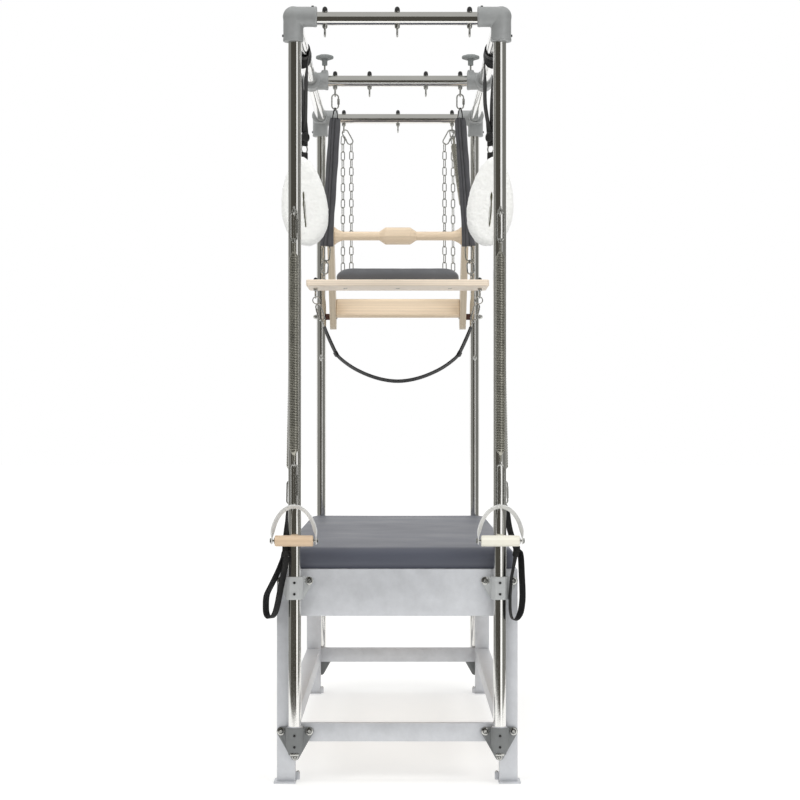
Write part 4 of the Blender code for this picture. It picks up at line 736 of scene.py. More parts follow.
def link(top, bottom, width, wire, across=X, steps=20, sides=8):
    """An oval link: a ring whose two halves are drawn apart, from the one end of its wire to the other."""
    top, bottom = Vector(top), Vector(bottom)
    half = ((top - bottom).length - width) / 2
    obj = torus(width / 2, wire, steps, sides)
    with editing(obj):
        for sign in (-1, 1):
            choose("VERT", lambda vertex: vertex.co.z * sign > 0 and abs(vertex.co.z) < width)
            bpy.ops.transform.translate(value=(0, 0, sign * (half + width)))
        bpy.ops.mesh.select_all(action="SELECT")
        for sign in (-1, 1):
            choose("VERT", lambda vertex: vertex.co.z * sign > 0)
            bpy.ops.transform.translate(value=(0, 0, -sign * width))
    return moved(obj, stand((top + bottom) / 2, top - bottom, across))


def hulled(*parts):
    """The tight skin round several solids, its flat faces made whole."""
    obj = joined(*parts)
    with editing(obj):
        bpy.ops.mesh.convex_hull()
        bpy.ops.mesh.select_all(action="SELECT")
        bpy.ops.mesh.dissolve_limited(angle_limit=math.radians(1))
    return obj


def softened(obj, cell, rounds=6):
    """A casting: its parts melted into one skin and smoothed."""
    modified(obj, "REMESH", mode="VOXEL", voxel_size=cell)
    return modified(obj, "SMOOTH", factor=0.5, iterations=rounds)


def smooth_line(points, count):
    """Evenly spaced points on a smooth line through the given ones, and its length."""
    points = [Vector(point) for point in points]
    points = [2 * points[0] - points[1], *points, 2 * points[-1] - points[-2]]
    fine = []
    for a, b, c, d in zip(points, points[1:], points[2:], points[3:]):
        for step in range(12):
            t = step / 12
            fine.append(
                0.5 * (2 * b + (c - a) * t + (2 * a - 5 * b + 4 * c - d) * t ** 2
                       + (3 * b - a - 3 * c + d) * t ** 3)
            )
    fine.append(points[-2])
    marks = [0.0]
    for a, b in zip(fine, fine[1:]):
        marks.append(marks[-1] + (b - a).length)
    line, place = [], 0
    for number in range(count):
        target = marks[-1] * number / (count - 1)
        while place < len(marks) - 2 and marks[place + 1] < target:
            place += 1
        share = (target - marks[place]) / max(marks[place + 1] - marks[place], 1e-9)
        line.append(fine[place].lerp(fine[place + 1], min(1.0, share)))
    return line, marks[-1]


def strap(points, width, thickness, steps, rounding=0.0004, across=lambda spot, run: Y):
    """A flat strap: a grid laid along a smooth line, its UV map in metres, across Y unless it is turned."""
    obj = fresh(
        bpy.ops.mesh.primitive_grid_add, x_subdivisions=steps, y_subdivisions=4, size=1, location=(0, 0, 0)
    )
    line, span = smooth_line(points, steps + 1)
    mesh = obj.data
    flat = [(vertex.co.x + 0.5, vertex.co.y) for vertex in mesh.vertices]
    for loop, spot in zip(mesh.loops, mesh.uv_layers.active.data):
        along, side = flat[loop.vertex_index]
        spot.uv = (along * span, side * width)
    for vertex, (along, side) in zip(mesh.vertices, flat):
        place = round(along * steps)
        run = (line[min(place + 1, steps)] - line[max(place - 1, 0)]).normalized()
        vertex.co = line[place] + across(line[place], run) * side * width
    modified(obj, "SOLIDIFY", thickness=thickness, offset=0.0, use_even_offset=True)
    with editing(obj):
        face_outwards()
    return rounded(obj, rounding, 1, 60)


def coil(start, end):
    """A close-wound spring from point to point, its ends closed."""
    sizes = bpy.context.scene.trapeze_hardware
    wire = sizes.spring_wire
    obj = fresh(
        bpy.ops.mesh.primitive_circle_add, vertices=6, radius=wire, fill_type="NOTHING",
        location=(sizes.spring_radius - wire, 0, wire), rotation=(math.radians(90), 0, 0),
    )
    span = (end - start).length - 2 * wire
    turns = round(span / sizes.spring_pitch)
    modified(
        obj, "SCREW", axis="Z", angle=2 * math.pi, screw_offset=span / turns, iterations=turns,
        steps=16, render_steps=16,
    )
    with editing(obj):
        bpy.ops.mesh.fill_holes(sides=0)
        face_outwards()
    return coated(moved(obj, stand(start, end - start, X)), oiled_spring_wire())


def puffed(obj, cell, swell):
    """Swells a closed shape as a stuffed cover that lies flat on its bottom."""
    soft = bpy.context.scene.trapeze_soft
    modified(obj, "REMESH", mode="VOXEL", voxel_size=cell)
    rest = [vertex.co.copy() for vertex in obj.data.vertices]
    cloth = obj.modifiers.new("Cover", "CLOTH")
    cloth.settings.use_pressure = True
    cloth.settings.uniform_pressure_force = soft.pressure
    cloth.settings.effector_weights.gravity = 0.0
    for number in range(1, 21):
        bpy.context.scene.frame_set(number)
    take(obj)
    bpy.ops.object.modifier_apply(modifier=cloth.name)
    bpy.context.scene.frame_set(1)
    bottom = min(point.z for point in rest)
    for vertex, start in zip(obj.data.vertices, rest):
        step = vertex.co - start
        if step.length > swell:
            step *= swell / step.length
        if start.z < bottom + cell / 2:
            step.z = 0.0
        vertex.co = start + step
        vertex.co.z = max(vertex.co.z, bottom)
    modified(obj, "SMOOTH", factor=0.5, iterations=2)
    for vertex, start in zip(obj.data.vertices, rest):
        vertex.co.z = bottom if start.z < bottom + cell / 2 else max(vertex.co.z, bottom)
    with editing(obj):
        choose("EDGE", lambda edge: all(vertex.co.z < bottom + 1e-5 for vertex in edge.verts)
               and any(any(vertex.co.z > bottom + 1e-5 for vertex in face.verts) for face in edge.link_faces))
        bpy.ops.transform.edge_crease(value=1.0)
    return modified(obj, "SUBSURF", levels=1, render_levels=1)


def cushion(node, shrink, corner, brim, brim_steps, cell, swell):
    """A stuffed cover in the place of a CAD node, its upright corners and its top edge rounded."""
    low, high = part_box(node)
    top = high.z - shrink
    pad = bar((low.x + shrink, low.y + shrink, low.z), (high.x - shrink, high.y - shrink, top))
    with editing(pad):
        choose("EDGE", lambda edge: abs(edge.verts[0].co.z - edge.verts[1].co.z) > 0.02)
        bpy.ops.mesh.bevel(offset=corner, segments=8, affect="EDGES")
        choose("EDGE", lambda edge: all(vertex.co.z > top - 0.001 for vertex in edge.verts)
               and len({round(face.normal.z) for face in edge.link_faces}) > 1)
        bpy.ops.mesh.bevel(offset=brim, segments=brim_steps, affect="EDGES")
    return puffed(pad, cell, swell)


def at_each_post(master, height, mirrored):
    """Puts one model at each post, turned to face its end; gives the end, the side and the piece."""
    places = [(end, side) for end in ENDS for side in SIDES]
    matrices = []
    for end, side in places:
        y, inward = ENDS[end]
        turn = Matrix.Diagonal((SIDES[side] if mirrored else 1, inward, 1, 1))
        matrices.append(at(SIDES[side] * POST_X, y, height) @ turn)
    return [(end, side, piece) for (end, side), piece in zip(places, repeated(master, matrices))]


def placed(obj, name, body, slot, *nodes, angle=40):
    """Names a finished piece, shades it, ties it to its body if the body is a name, and hides the CAD nodes
    that it stands in for; its finish slot is not used.
    """
    take(obj)
    bpy.ops.object.shade_smooth_by_angle(angle=math.radians(angle))
    obj.name = obj.data.name = name
    if isinstance(body, str):
        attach(obj, body)
    else:
        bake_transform(obj)
    if nodes:
        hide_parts(*nodes)
    return obj


# Small hardware
def eyebolt(reach=0.0225):
    """An eyebolt along Z from the surface that it stands on: washer, hexagon collar, stem and ring."""
    ring = moved(torus(0.0105, 0.003), at(0, 0, reach) @ Matrix.Rotation(math.radians(90), 4, "Z"))
    collar = turned([(0.001, 0.0072), (0.005, 0.0078), (0.008, 0.0070), (0.0105, 0.0048)], 20)
    washer = turned([(-0.001, 0.0086), (0.001, 0.0086), (0.0013, 0.008)], 24)
    stem = turned([(0.005, 0.004), (reach - 0.0115, 0.0036), (reach - 0.0095, 0.003)], 16)
    return coated(joined(ring, collar, washer, stem), zinc_plated_steel())


def dome_nut():
    """A domed nut with its washer, along Z from the surface."""
    nut = turned(
        [(0.001, 0.0078), (0.007, 0.0078), (0.0078, 0.0074), (0.0115, 0.0066), (0.014, 0.0046),
         (0.0155, 0.0016)],
        24,
    )
    washer = turned([(-0.001, 0.0085), (0.0012, 0.0085), (0.0014, 0.008)], 24)
    return joined(coated(nut, black_nylon_nut()), coated(washer, zinc_plated_steel()))


def bolt_head(radius, height):
    """A round bolt head with a hexagon recess, along Z from the surface."""
    head = turned(
        [(-0.001, radius), (height * 0.6, radius), (height, radius * 0.72), (height, radius * 0.5),
         (height * 0.45, radius * 0.45), (height * 0.4, radius * 0.1)],
        24,
    )
    return coated(head, zinc_plated_steel())


def bolt(washer=0.0115):
    """A bolt head on a dark spring washer and a wide bright one, along Z from the surface."""
    wide = turned([(-0.001, washer), (0.0012, washer), (0.0017, washer - 0.0008)], 32)
    dark = turned([(0.001, washer * 0.64), (0.0022, washer * 0.64), (0.0026, washer * 0.6)], 28)
    wide, dark = coated(wide, zinc_plated_steel()), coated(dark, black_nylon_nut())
    return joined(wide, dark, moved(bolt_head(washer * 0.46, 0.0042), at(0, 0, 0.002)))


def set_screw():
    """A socket set screw, along Z from the surface."""
    screw = turned(
        [(-0.001, 0.0037), (0.0022, 0.0037), (0.0027, 0.0031), (0.0027, 0.002), (0.0006, 0.0017)], 18
    )
    return coated(screw, black_nylon_nut())


def quick_link(top, bottom, width, across=X):
    """An oval link closed by a hexagon sleeve nut on one side."""
    top, bottom, across = Vector(top), Vector(bottom), Vector(across)
    wire = bpy.context.scene.trapeze_hardware.hook_wire
    body = link(top, bottom, width, wire, across)
    place = stand((top + bottom) / 2, top - bottom, across) @ at(width / 2, 0, -0.010)
    nut = turned([(0, 0.0042), (0.001, 0.0048), (0.019, 0.0048), (0.020, 0.0042)], 6)
    return coated(joined(body, moved(nut, place)), zinc_plated_steel())


def snap_hook(eye_end, swivel_end, width, across=X, swivel=True):
    """A snap hook: an oval of wire, a sprung gate on one side, and a swivel barrel at its far end."""
    eye_end, swivel_end = Vector(eye_end), Vector(swivel_end)
    wire = bpy.context.scene.trapeze_hardware.hook_wire
    span = (eye_end - swivel_end).length
    parts = [link(eye_end, swivel_end, width, wire, across)]
    place = stand(swivel_end, eye_end - swivel_end, across)
    gate = turned([(0, 0.0022), (0.001, 0.0033), (span * 0.5, 0.0033), (span * 0.5 + 0.001, 0.0024)], 14)
    parts.append(moved(gate, place @ at(width / 2, 0, span * 0.25)))
    if swivel:
        barrel = turned(
            [(-0.007, 0.0044), (-0.006, 0.0056), (0.001, 0.0056), (0.002, 0.0048), (0.005, 0.0048),
             (0.006, 0.004)],
            20,
        )
        parts.append(moved(barrel, place))
    return coated(joined(*parts), zinc_plated_steel())


def tube(start, end, material):
    """A length of the frame's tube."""
    return coated(rod(start, end, TUBE_RADIUS, 0.0008, bpy.context.scene.trapeze_frame.tube_sides), material)


def along_y(x, y, z, sign):
    """A place on a flat face that looks along Y."""
    return stand((x, y, z), (0, sign, 0), X)


class TRAPEZE_OT_stage(bpy.types.Operator):
    """Sets the floor, the lamps, the camera and the cards that the metal reflects"""
    bl_idname = "trapeze.stage"
    bl_label = "Stage"

    def execute(self, context):
        scene = context.scene
        scene.view_settings.view_transform = "Standard"
        bpy.ops.object.camera_add(location=(0.008, -7.349, 1.07), rotation=(math.radians(90), 0, 0))
        camera = context.object
        camera.name = "camera"
        camera.data.lens = 97.65
        camera.data.sensor_width = 36.0
        camera.data.shift_y = 0.02
        camera.data.clip_end = 200.0
        scene.camera = camera

        world = bpy.data.worlds.new("studio")
        scene.world = world
        world.use_nodes = True
        tree = world.node_tree
        tree.nodes.clear()
        seen = self.seen(tree)
        soft, white = (add(tree, "Background", (linear("#ffffff"), strength)) for strength in (0.5, 1.0))
        add(tree, "OutputWorld", (add(tree, "MixShader", (seen, soft, white)),))

        take(None)
        bpy.ops.mesh.primitive_circle_add(
            vertices=96, radius=40.0, fill_type="NGON", location=(0, 0, -0.0005)
        )
        floor = context.object
        floor.name = "floor"
        floor.data.materials.append(self.floor_paint(scene.trapeze_colours.floor))
        # The gap between the front and the right card is the bright line that the tubes show.
        for name, start, end, code in (
            ("left_card", -128, -48, "#868682"),
            ("front_card", -48, 13, "#4c4a44"),
            ("right_card", 31, 128, "#7a7a76"),
        ):
            self.card(name, start, end, linear(code))
        self.ceiling()

        for name, place, target, size, power in (
            ("top_lamp", (0.0, -0.4, 5.2), (0, 0.2, 0.6), (4.5, 5.0), 142.0),
            ("key_lamp", (-3.6, -5.6, 3.6), (0, 0, 1.0), (2.6, 2.6), 86.0),
            ("fill_lamp", (4.2, -4.8, 2.8), (0, 0, 1.0), (3.0, 3.0), 88.0),
        ):
            take(None)
            bpy.ops.object.light_add(type="AREA", location=place)
            lamp = context.object
            lamp.name = name
            lamp.data.shape = "RECTANGLE"
            lamp.data.size, lamp.data.size_y = size
            lamp.data.energy = power
            lamp.rotation_euler = (Vector(target) - Vector(place)).to_track_quat("-Z", "Y").to_euler()
            lamp.visible_glossy = False
        return {"FINISHED"}

    def seen(self, tree):
        """1 for the rays that show the background: the camera's, a reflection's and a transmission's."""
        path = add(tree, "LightPath").node.outputs
        first = add(tree, "Math", (path["Is Camera Ray"], path["Is Glossy Ray"]), operation="MAXIMUM")
        return add(tree, "Math", (first, path["Is Transmission Ray"]), operation="MAXIMUM")

    def glowing(self, obj, colour):
        """Makes a card that only reflections see."""
        material = bpy.data.materials.new(obj.name)
        material.use_nodes = True
        tree = material.node_tree
        tree.nodes.clear()
        add(tree, "OutputMaterial", (add(tree, "Emission", (colour, 1.0)),))
        obj.data.materials.append(material)
        obj.visible_camera = obj.visible_diffuse = obj.visible_shadow = False
        obj.visible_transmission = obj.visible_volume_scatter = False

    def floor_paint(self, colour):
        """Matt pale paint that a camera sees as white, with the shadows still on it."""
        material = bpy.data.materials.new("pale_floor_paint")
        material.use_nodes = True
        tree = material.node_tree
        tree.nodes.clear()
        where = add(tree, "TexCoord", out="Object")
        clouds = add(tree, "TexNoise", {"Vector": where, "Scale": 0.8, "Detail": 2.0})
        pale, dull = shade(colour, 1.02), shade(colour, 0.98)
        body = add(tree, "Mix", {0: clouds, 6: dull, 7: pale}, 2, data_type="RGBA")
        # The lamps don't reach far out, so the floor gives more of its own there, and a little to the table.
        out = add(tree, "VectorMath", (where,), "Value", operation="LENGTH")
        shown = add(tree, "MapRange", (out, 2.0, 9.0, 0.525, 0.78))
        lift = add(tree, "MapRange", (self.seen(tree), 0.0, 1.0, 0.36, shown))
        paint, glow = add(tree, "BsdfDiffuse", (body,)), add(tree, "Emission", (linear("#ffffff"), lift))
        add(tree, "OutputMaterial", (add(tree, "AddShader", (paint, glow)),))
        return material

    def card(self, name, start, end, colour):
        """An upright card on an arc round the table, angles from the near side."""
        steps, radius = 24, 2.5
        take(None)
        bpy.ops.mesh.primitive_grid_add(x_subdivisions=steps, y_subdivisions=1, size=1, location=(0, 0, 0))
        obj = bpy.context.object
        obj.name = name
        for vertex in obj.data.vertices:
            angle = math.radians(start + (end - start) * (vertex.co.x + 0.5))
            height = 0.002 + 2.87 * (vertex.co.y + 0.5)
            vertex.co = (radius * math.sin(angle), -radius * math.cos(angle), height)
        self.glowing(obj, colour)

    def ceiling(self):
        """A grey card over the table, which takes the glare off the tops of the rails."""
        take(None)
        bpy.ops.mesh.primitive_circle_add(vertices=48, radius=2.6, fill_type="NGON", location=(0, 0, 2.9))
        obj = bpy.context.object
        obj.name = "top_card"
        self.glowing(obj, linear("#b4b4b1"))


class TRAPEZE_OT_base(bpy.types.Operator):
    """Models the welded end frames, the side rails and the stretchers, and finishes the deck board"""
    bl_idname = "trapeze.base"
    bl_label = "Base"

    def execute(self, context):
        rounding = context.scene.trapeze_frame.bar_rounding
        for end, (y, inward) in ENDS.items():
            face = y + inward * 0.025
            parts = self.end_bars(face, inward, rounding)
            for sign in SIDES.values():
                level = bolt_head(0.0042, 0.003)
                parts.append(moved(level, at(sign * 0.2915, face + inward * 0.047, 0.026)))
                parts += self.welds(sign, face, inward)
            placed(joined(*parts), f"{end}_end_bars", "frame", "frame_aluminium", f"end_frame_{end}")
        for side, sign in SIDES.items():
            rail = self.side_bar(sign * 0.321, sign * OUTER_X, DEEP_BOTTOM, FRAME_TOP, rounding)
            ledge = self.side_bar(sign * 0.296, sign * 0.327, 0.5997, 0.6057, 0.0008)
            rail = coated(joined(rail, ledge), brushed_aluminium())
            placed(rail, f"{side}_side_bar", "frame", "frame_aluminium", f"side_rail_{side}")
            low = self.side_bar(sign * INNER_X, sign * OUTER_X, LOW_BOTTOM, LOW_TOP, rounding)
            low = coated(low, brushed_aluminium())
            placed(low, f"{side}_low_bar", "frame", "frame_aluminium", f"side_stretcher_{side}")
        coated(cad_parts["deck_board"], birch_plywood())
        return {"FINISHED"}

    def side_bar(self, x0, x1, bottom, top, rounding):
        return bar((x0, SIDE_BAR_NEAR, bottom), (x1, SIDE_BAR_FAR, top), rounding)

    def end_bars(self, face, inward, rounding):
        """The bars of an end frame, each from corner to corner: x, the depth behind the face, and z."""
        wide = INNER_X + 0.001
        bars = [
            ((-wide, 0, DEEP_BOTTOM), (wide, 0.040, FRAME_TOP), rounding),
            ((-wide, 0.0004, LOW_BOTTOM), (wide, 0.030, LOW_TOP), rounding),
        ]
        for sign in SIDES.values():
            # The leg, its foot plate and the lug of its levelling screw
            bars += [
                ((sign * INNER_X, 0.0002, 0.004), (sign * OUTER_X, 0.053, FRAME_TOP - 0.0004), rounding),
                ((sign * 0.295, -0.014, 0), (sign * 0.360, 0.062, 0.006), 0.0015),
                ((sign * 0.286, 0.041, 0.003), (sign * 0.2985, 0.053, 0.026), 0.0015),
            ]
        return [
            coated(bar((x0, face + inward * y0, z0), (x1, face + inward * y1, z1), edge), brushed_aluminium())
            for (x0, y0, z0), (x1, y1, z1), edge in bars
        ]

    def welds(self, sign, face, inward):
        """Beads of weld where the bars of an end frame meet its leg."""
        beads = []
        for low, high, depth in ((0.492, 0.619, 0.0398), (0.125, 0.171, 0.0298)):
            y = face + inward * depth
            rings, steps = [], 24
            for number in range(steps + 1):
                wide = 0.0022 + 0.0005 * (number % 2)
                rings.append((low + (high - low) * number / steps, wide))
            beads.append(moved(turned(rings, 10), at(sign * INNER_X, y, 0)))
        return [coated(bead, brushed_aluminium()) for bead in beads]


class TRAPEZE_OT_mattress(bpy.types.Operator):
    """Models the long upholstered mattress"""
    bl_idname = "trapeze.mattress"
    bl_label = "Mattress"

    def execute(self, context):
        soft = context.scene.trapeze_soft
        swell = soft.mattress_swell
        pad = cushion("mattress", swell + 0.0005, 0.034, 0.013, 4, soft.mattress_cell, swell)
        coated(pad, grey_mattress_vinyl())
        placed(pad, "long_mattress", "frame", "mattress_vinyl", "mattress", angle=60)
        return {"FINISHED"}


class TRAPEZE_OT_brackets(bpy.types.Operator):
    """Models the upper and lower brackets that hold the posts to the end frames"""
    bl_idname = "trapeze.brackets"
    bl_label = "Brackets"

    def execute(self, context):
        for level, master in (("upper", self.upper()), ("lower", self.lower())):
            for end, side, obj in at_each_post(master, 0, False):
                node = f"{level}_bracket_{end}_{side}"
                placed(obj, f"{end}_{side}_{level}_bracket", "frame", "cast_aluminium", node)
        return {"FINISHED"}

    def saddle(self, bottom, top, taper=0.0):
        """The block that the post passes through, its front corners cut off, narrower below if it tapers."""
        body = bar((-0.025, -0.025, bottom + taper), (0.025, 0.0240, top))
        with editing(body):
            choose("EDGE", lambda edge: all(vertex.co.y < 0 for vertex in edge.verts)
                   and abs(edge.verts[0].co.z - edge.verts[1].co.z) > 0.02)
            bpy.ops.mesh.bevel(offset=0.011, segments=1, affect="EDGES")
        if taper:
            body = hulled(body, bar((-0.017, -0.0235, bottom), (0.017, 0.0240, bottom + 0.002)))
        floor = bottom + (0.030 if taper else 0.010)
        return cut(body, turned([(floor, TUBE_RADIUS + 0.0004), (top + 0.01, TUBE_RADIUS + 0.0004)], 48))

    def disc(self, x, z, radius):
        return rod((x, 0.0167, z), (x, 0.0247, z), radius, 0.0001, 32)

    def assembled(self, saddle, ears, bolts, screws, material):
        rounding = bpy.context.scene.trapeze_frame.casting_rounding
        parts = [
            coated(rounded(saddle, rounding), material),
            coated(rounded(hulled(*ears), rounding * 0.8, 2, 50), material),
        ]
        parts += [moved(bolt(0.0115 if x else 0.0084), along_y(x, 0.0167, z, -1)) for x, z in bolts]
        parts += [moved(set_screw(), along_y(0, -0.025, z, -1)) for z in screws]
        return parts

    def upper(self):
        bolts = [(-0.041, 0.5905), (0.041, 0.5905)]
        ears = [self.disc(*place, 0.0125) for place in bolts]
        ears += [self.disc(x, 0.543, 0.005) for x in (-0.022, 0.022)]
        saddle = self.saddle(0.538, 0.604)
        return joined(*self.assembled(saddle, ears, bolts, (0.5545, 0.5875), pale_casting()))

    def lower(self):
        bolts = [(-0.041, 0.152), (0.041, 0.152), (0, 0.0760)]
        ears = [self.disc(*place, 0.0125) for place in bolts[:2]] + [self.disc(0, 0.080, 0.013)]
        saddle = self.saddle(0.090, 0.167, 0.026)
        parts = self.assembled(saddle, ears, bolts, (0.112, 0.145), dull_casting())
        ledge = bar((-0.0125, -0.0262, 0.086), (0.0125, 0.0125, 0.094), 0.001)
        lip = turned([(0.164, 0.0226), (0.168, 0.0226), (0.1695, 0.0212), (0.1695, TUBE_RADIUS + 0.0002)], 40)
        return joined(*parts, coated(ledge, zinc_plated_steel()), coated(lip, brushed_aluminium()))


class TRAPEZE_OT_posts(bpy.types.Operator):
    """Models the four posts with their eyebolts, and the pivots of the push-through bar"""
    bl_idname = "trapeze.posts"
    bl_label = "Posts"

    def execute(self, context):
        for side, sign in SIDES.items():
            x = sign * POST_X
            near = [
                tube((x, NEAR_Y, POST_FOOT), (x, NEAR_Y, POST_HEAD), bright_post_tube()),
                moved(eyebolt(0.0265), along_y(x, NEAR_Y - TUBE_RADIUS, ARM_EYE_Z, -1)),
                moved(eyebolt(), along_y(x, NEAR_Y + TUBE_RADIUS, LEG_EYE_Z, 1)),
            ]
            placed(joined(*near), f"near_{side}_post", "frame", "tube_steel", f"post_near_{side}")
            far = [
                tube((x, FAR_Y, POST_FOOT), (x, FAR_Y, POST_HEAD), bright_post_tube()),
                moved(eyebolt(), along_y(x, FAR_Y - TUBE_RADIUS, 1.295, -1)),
                *self.pivot(sign),
            ]
            placed(joined(*far), f"far_{side}_post", "frame", "tube_steel", f"post_far_{side}")
        return {"FINISHED"}

    def pivot(self, sign):
        """The bar's pivot: cap nut and washer outside the post, spacer and bolt head inside it."""
        place = stand((0, FAR_Y, PIVOT_Z), (sign, 0, 0), Y)
        nut = turned([(0.3175, 0.0084), (0.3216, 0.0084), (0.3221, 0.0078)], 6)
        cap = turned([(0.321, 0.0072), (0.3265, 0.0066), (0.3285, 0.004), (0.3293, 0.0015)], 24)
        washer = turned([(0.3155, 0.0095), (0.3176, 0.0095), (0.3178, 0.009)], 24)
        head = turned([(0.2347, 0.0078), (0.2354, 0.0092), (0.2362, 0.0096), (0.2386, 0.0096)], 24)
        shank = turned([(0.2386, 0.005), (0.2785, 0.005)], 16)
        spacer = turned([(0.2634, 0.0115), (0.2640, 0.012), (0.2788, 0.012), (0.2794, 0.0115)], 32)
        steel = coated(joined(nut, cap, washer, head, shank), zinc_plated_steel())
        return [moved(steel, place), moved(coated(spacer, vulcanised_fibre()), place)]


class TRAPEZE_OT_top_rails(bpy.types.Operator):
    """Models the four top rails with their eyebolts and dome nuts"""
    bl_idname = "trapeze.top_rails"
    bl_label = "Top rails"

    def execute(self, context):
        for end, (y, _) in ENDS.items():
            rail = railed(0.2725, y, (-RAIL_EYE_X, 0, RAIL_EYE_X))
            placed(rail, f"{end}_top_tube", "frame", "tube_steel", f"top_rail_{end}")
        for side, sign in SIDES.items():
            ends = [(sign * POST_X, y, RAIL_Z) for y in (NEAR_Y + 0.025, FAR_Y - 0.025)]
            rail = tube(*ends, bright_side_tube())
            placed(rail, f"{side}_top_tube", "frame", "tube_steel", f"top_rail_{side}")
        return {"FINISHED"}


def railed(reach, y, eyes):
    """A cross tube with an eyebolt below and a dome nut above at each place."""
    below = [stand((x, y, RAIL_Z - TUBE_RADIUS), -Z, X) for x in eyes]
    above = [stand((x, y, RAIL_Z + TUBE_RADIUS), Z, X) for x in eyes]
    rail = tube((-reach, y, RAIL_Z), (reach, y, RAIL_Z), bright_cross_tube())
    return joined(rail, *repeated(eyebolt(), below), *repeated(dome_nut(), above))


class TRAPEZE_OT_corner_fittings(bpy.types.Operator):
    """Models the four cast elbows that join the posts and the top rails"""
    bl_idname = "trapeze.corner_fittings"
    bl_label = "Corner fittings"

    def execute(self, context):
        sizes = context.scene.trapeze_frame
        shift = 0.004
        middle = Vector((shift, -shift, shift))
        ends = [(-0.065, -shift, shift), (shift, 0.065, shift), (shift, -shift, -0.069)]
        ball = fresh(
            bpy.ops.mesh.primitive_uv_sphere_add, segments=40, ring_count=20, radius=0.0306, location=middle
        )
        arms = []
        for end in ends:
            span = (Vector(end) - middle).length
            arm = turned(
                [(0, 0.0292), (span - 0.010, 0.0292), (span - 0.008, 0.030), (span - 0.0015, 0.030),
                 (span, 0.0285)]
            )
            arms.append(moved(arm, stand(middle, Vector(end) - middle, Y if abs(end[0]) > 0.02 else X)))
        body = softened(joined(ball, *arms), sizes.casting_grain)
        bore = TUBE_RADIUS + 0.0006
        body = cut(
            body,
            rod((-0.028, 0, 0), (-0.09, 0, 0), bore, 0.0001),
            rod((0, 0.028, 0), (0, 0.09, 0), bore, 0.0001),
            rod((0, 0, -0.028), (0, 0, -0.09), bore, 0.0001),
        )
        body = coated(body, sand_cast_aluminium())
        top = moved(set_screw(), stand((-0.052, -shift, shift + 0.0298), Z, X))
        outer = moved(set_screw(), stand((shift + 0.0298, -shift, -0.051), X, Y))
        for end, side, obj in at_each_post(joined(body, top, outer), RAIL_Z, True):
            node = f"corner_fitting_{end}_{side}"
            placed(obj, f"{end}_{side}_elbow", "frame", "cast_aluminium", node, angle=50)
        return {"FINISHED"}


class TRAPEZE_OT_slider(bpy.types.Operator):
    """Models the sliding crossbar, its two clamps and their knobs"""
    bl_idname = "trapeze.slider"
    bl_label = "Slider"

    def execute(self, context):
        cross = railed(0.2675, SLIDER_Y, (-HANGER_X, -0.097, 0.097, HANGER_X))
        placed(cross, "slider_tube", "slider", "tube_steel", "slider_crossbar")
        clamp = self.clamp()
        knob = self.knob()
        places = [
            at(sign * POST_X, SLIDER_Y, RAIL_Z) @ Matrix.Diagonal((sign, 1, 1, 1))
            for sign in SIDES.values()
        ]
        for side, obj in zip(SIDES, repeated(clamp, places)):
            placed(obj, f"{side}_slider_clamp", "slider", "cast_aluminium", f"slider_clamp_{side}", angle=50)
        places = [at(sign * KNOB_X, SLIDER_Y, 0) for sign in SIDES.values()]
        for side, obj in zip(SIDES, repeated(knob, places)):
            placed(obj, f"{side}_lobed_knob", f"knob_{side}", "knob_plastic", f"clamp_knob_{side}")
        return {"FINISHED"}

    def clamp(self):
        """The right clamp about the point where its rail and the crossbar meet."""
        ring = turned([(-0.038, 0.0295), (-0.0365, 0.032), (-0.029, 0.032), (-0.027, 0.031), (0.027, 0.031),
                       (0.029, 0.032), (0.0365, 0.032), (0.038, 0.0295)])
        ring = moved(ring, stand((0, 0, 0), Y, X))
        socket = turned([(0, 0.0295), (0.048, 0.0295), (0.050, 0.031), (0.0575, 0.031), (0.059, 0.029)])
        socket = moved(socket, stand((0, 0, 0), -X, Y))
        boss = rod((-0.046, 0, 0.02), (-0.046, 0, 0.0385), 0.0115, 0.002, 32)
        body = softened(joined(ring, socket, boss), bpy.context.scene.trapeze_frame.casting_grain, 4)
        body = cut(
            body,
            rod((-0.046, 0, 0.019), (-0.046, 0, 0.06), 0.0034, 0.0001, 20),
            rod((0, -0.06, 0), (0, 0.06, 0), TUBE_RADIUS + 0.0005, 0.0001),
            rod((-0.033, 0, 0), (-0.08, 0, 0), TUBE_RADIUS + 0.0005, 0.0001),
        )
        return coated(body, sand_cast_aluminium())

    def knob(self):
        """A six-lobed knob on its hub and stud, about the Z axis at the height where it stands."""
        head = turned(
            [(2.2985, 0.016), (2.2988, 0.0225), (2.3005, 0.0262), (2.3035, 0.0275), (2.308, 0.0275),
             (2.3112, 0.0260), (2.3135, 0.0215), (2.315, 0.015), (2.315, 0.010), (2.3138, 0.0092),
             (2.3136, 0.002)],
            72,
        )
        for vertex in head.data.vertices:
            reach = vertex.co.xy.length
            wave = math.cos(6 * math.atan2(vertex.co.y, vertex.co.x))
            share = 1 + 0.105 * wave * within((reach - 0.012) / 0.012)
            vertex.co.x *= share
            vertex.co.y *= share
        hub = turned([(2.278, 0.0085), (2.279, 0.0093), (2.292, 0.0093), (2.2995, 0.013)], 36)
        stud = turned([(2.2434, 0.003), (2.280, 0.003)], 16)
        return joined(coated(joined(head, hub), moulded_nylon_knob()), coated(stud, zinc_plated_steel()))


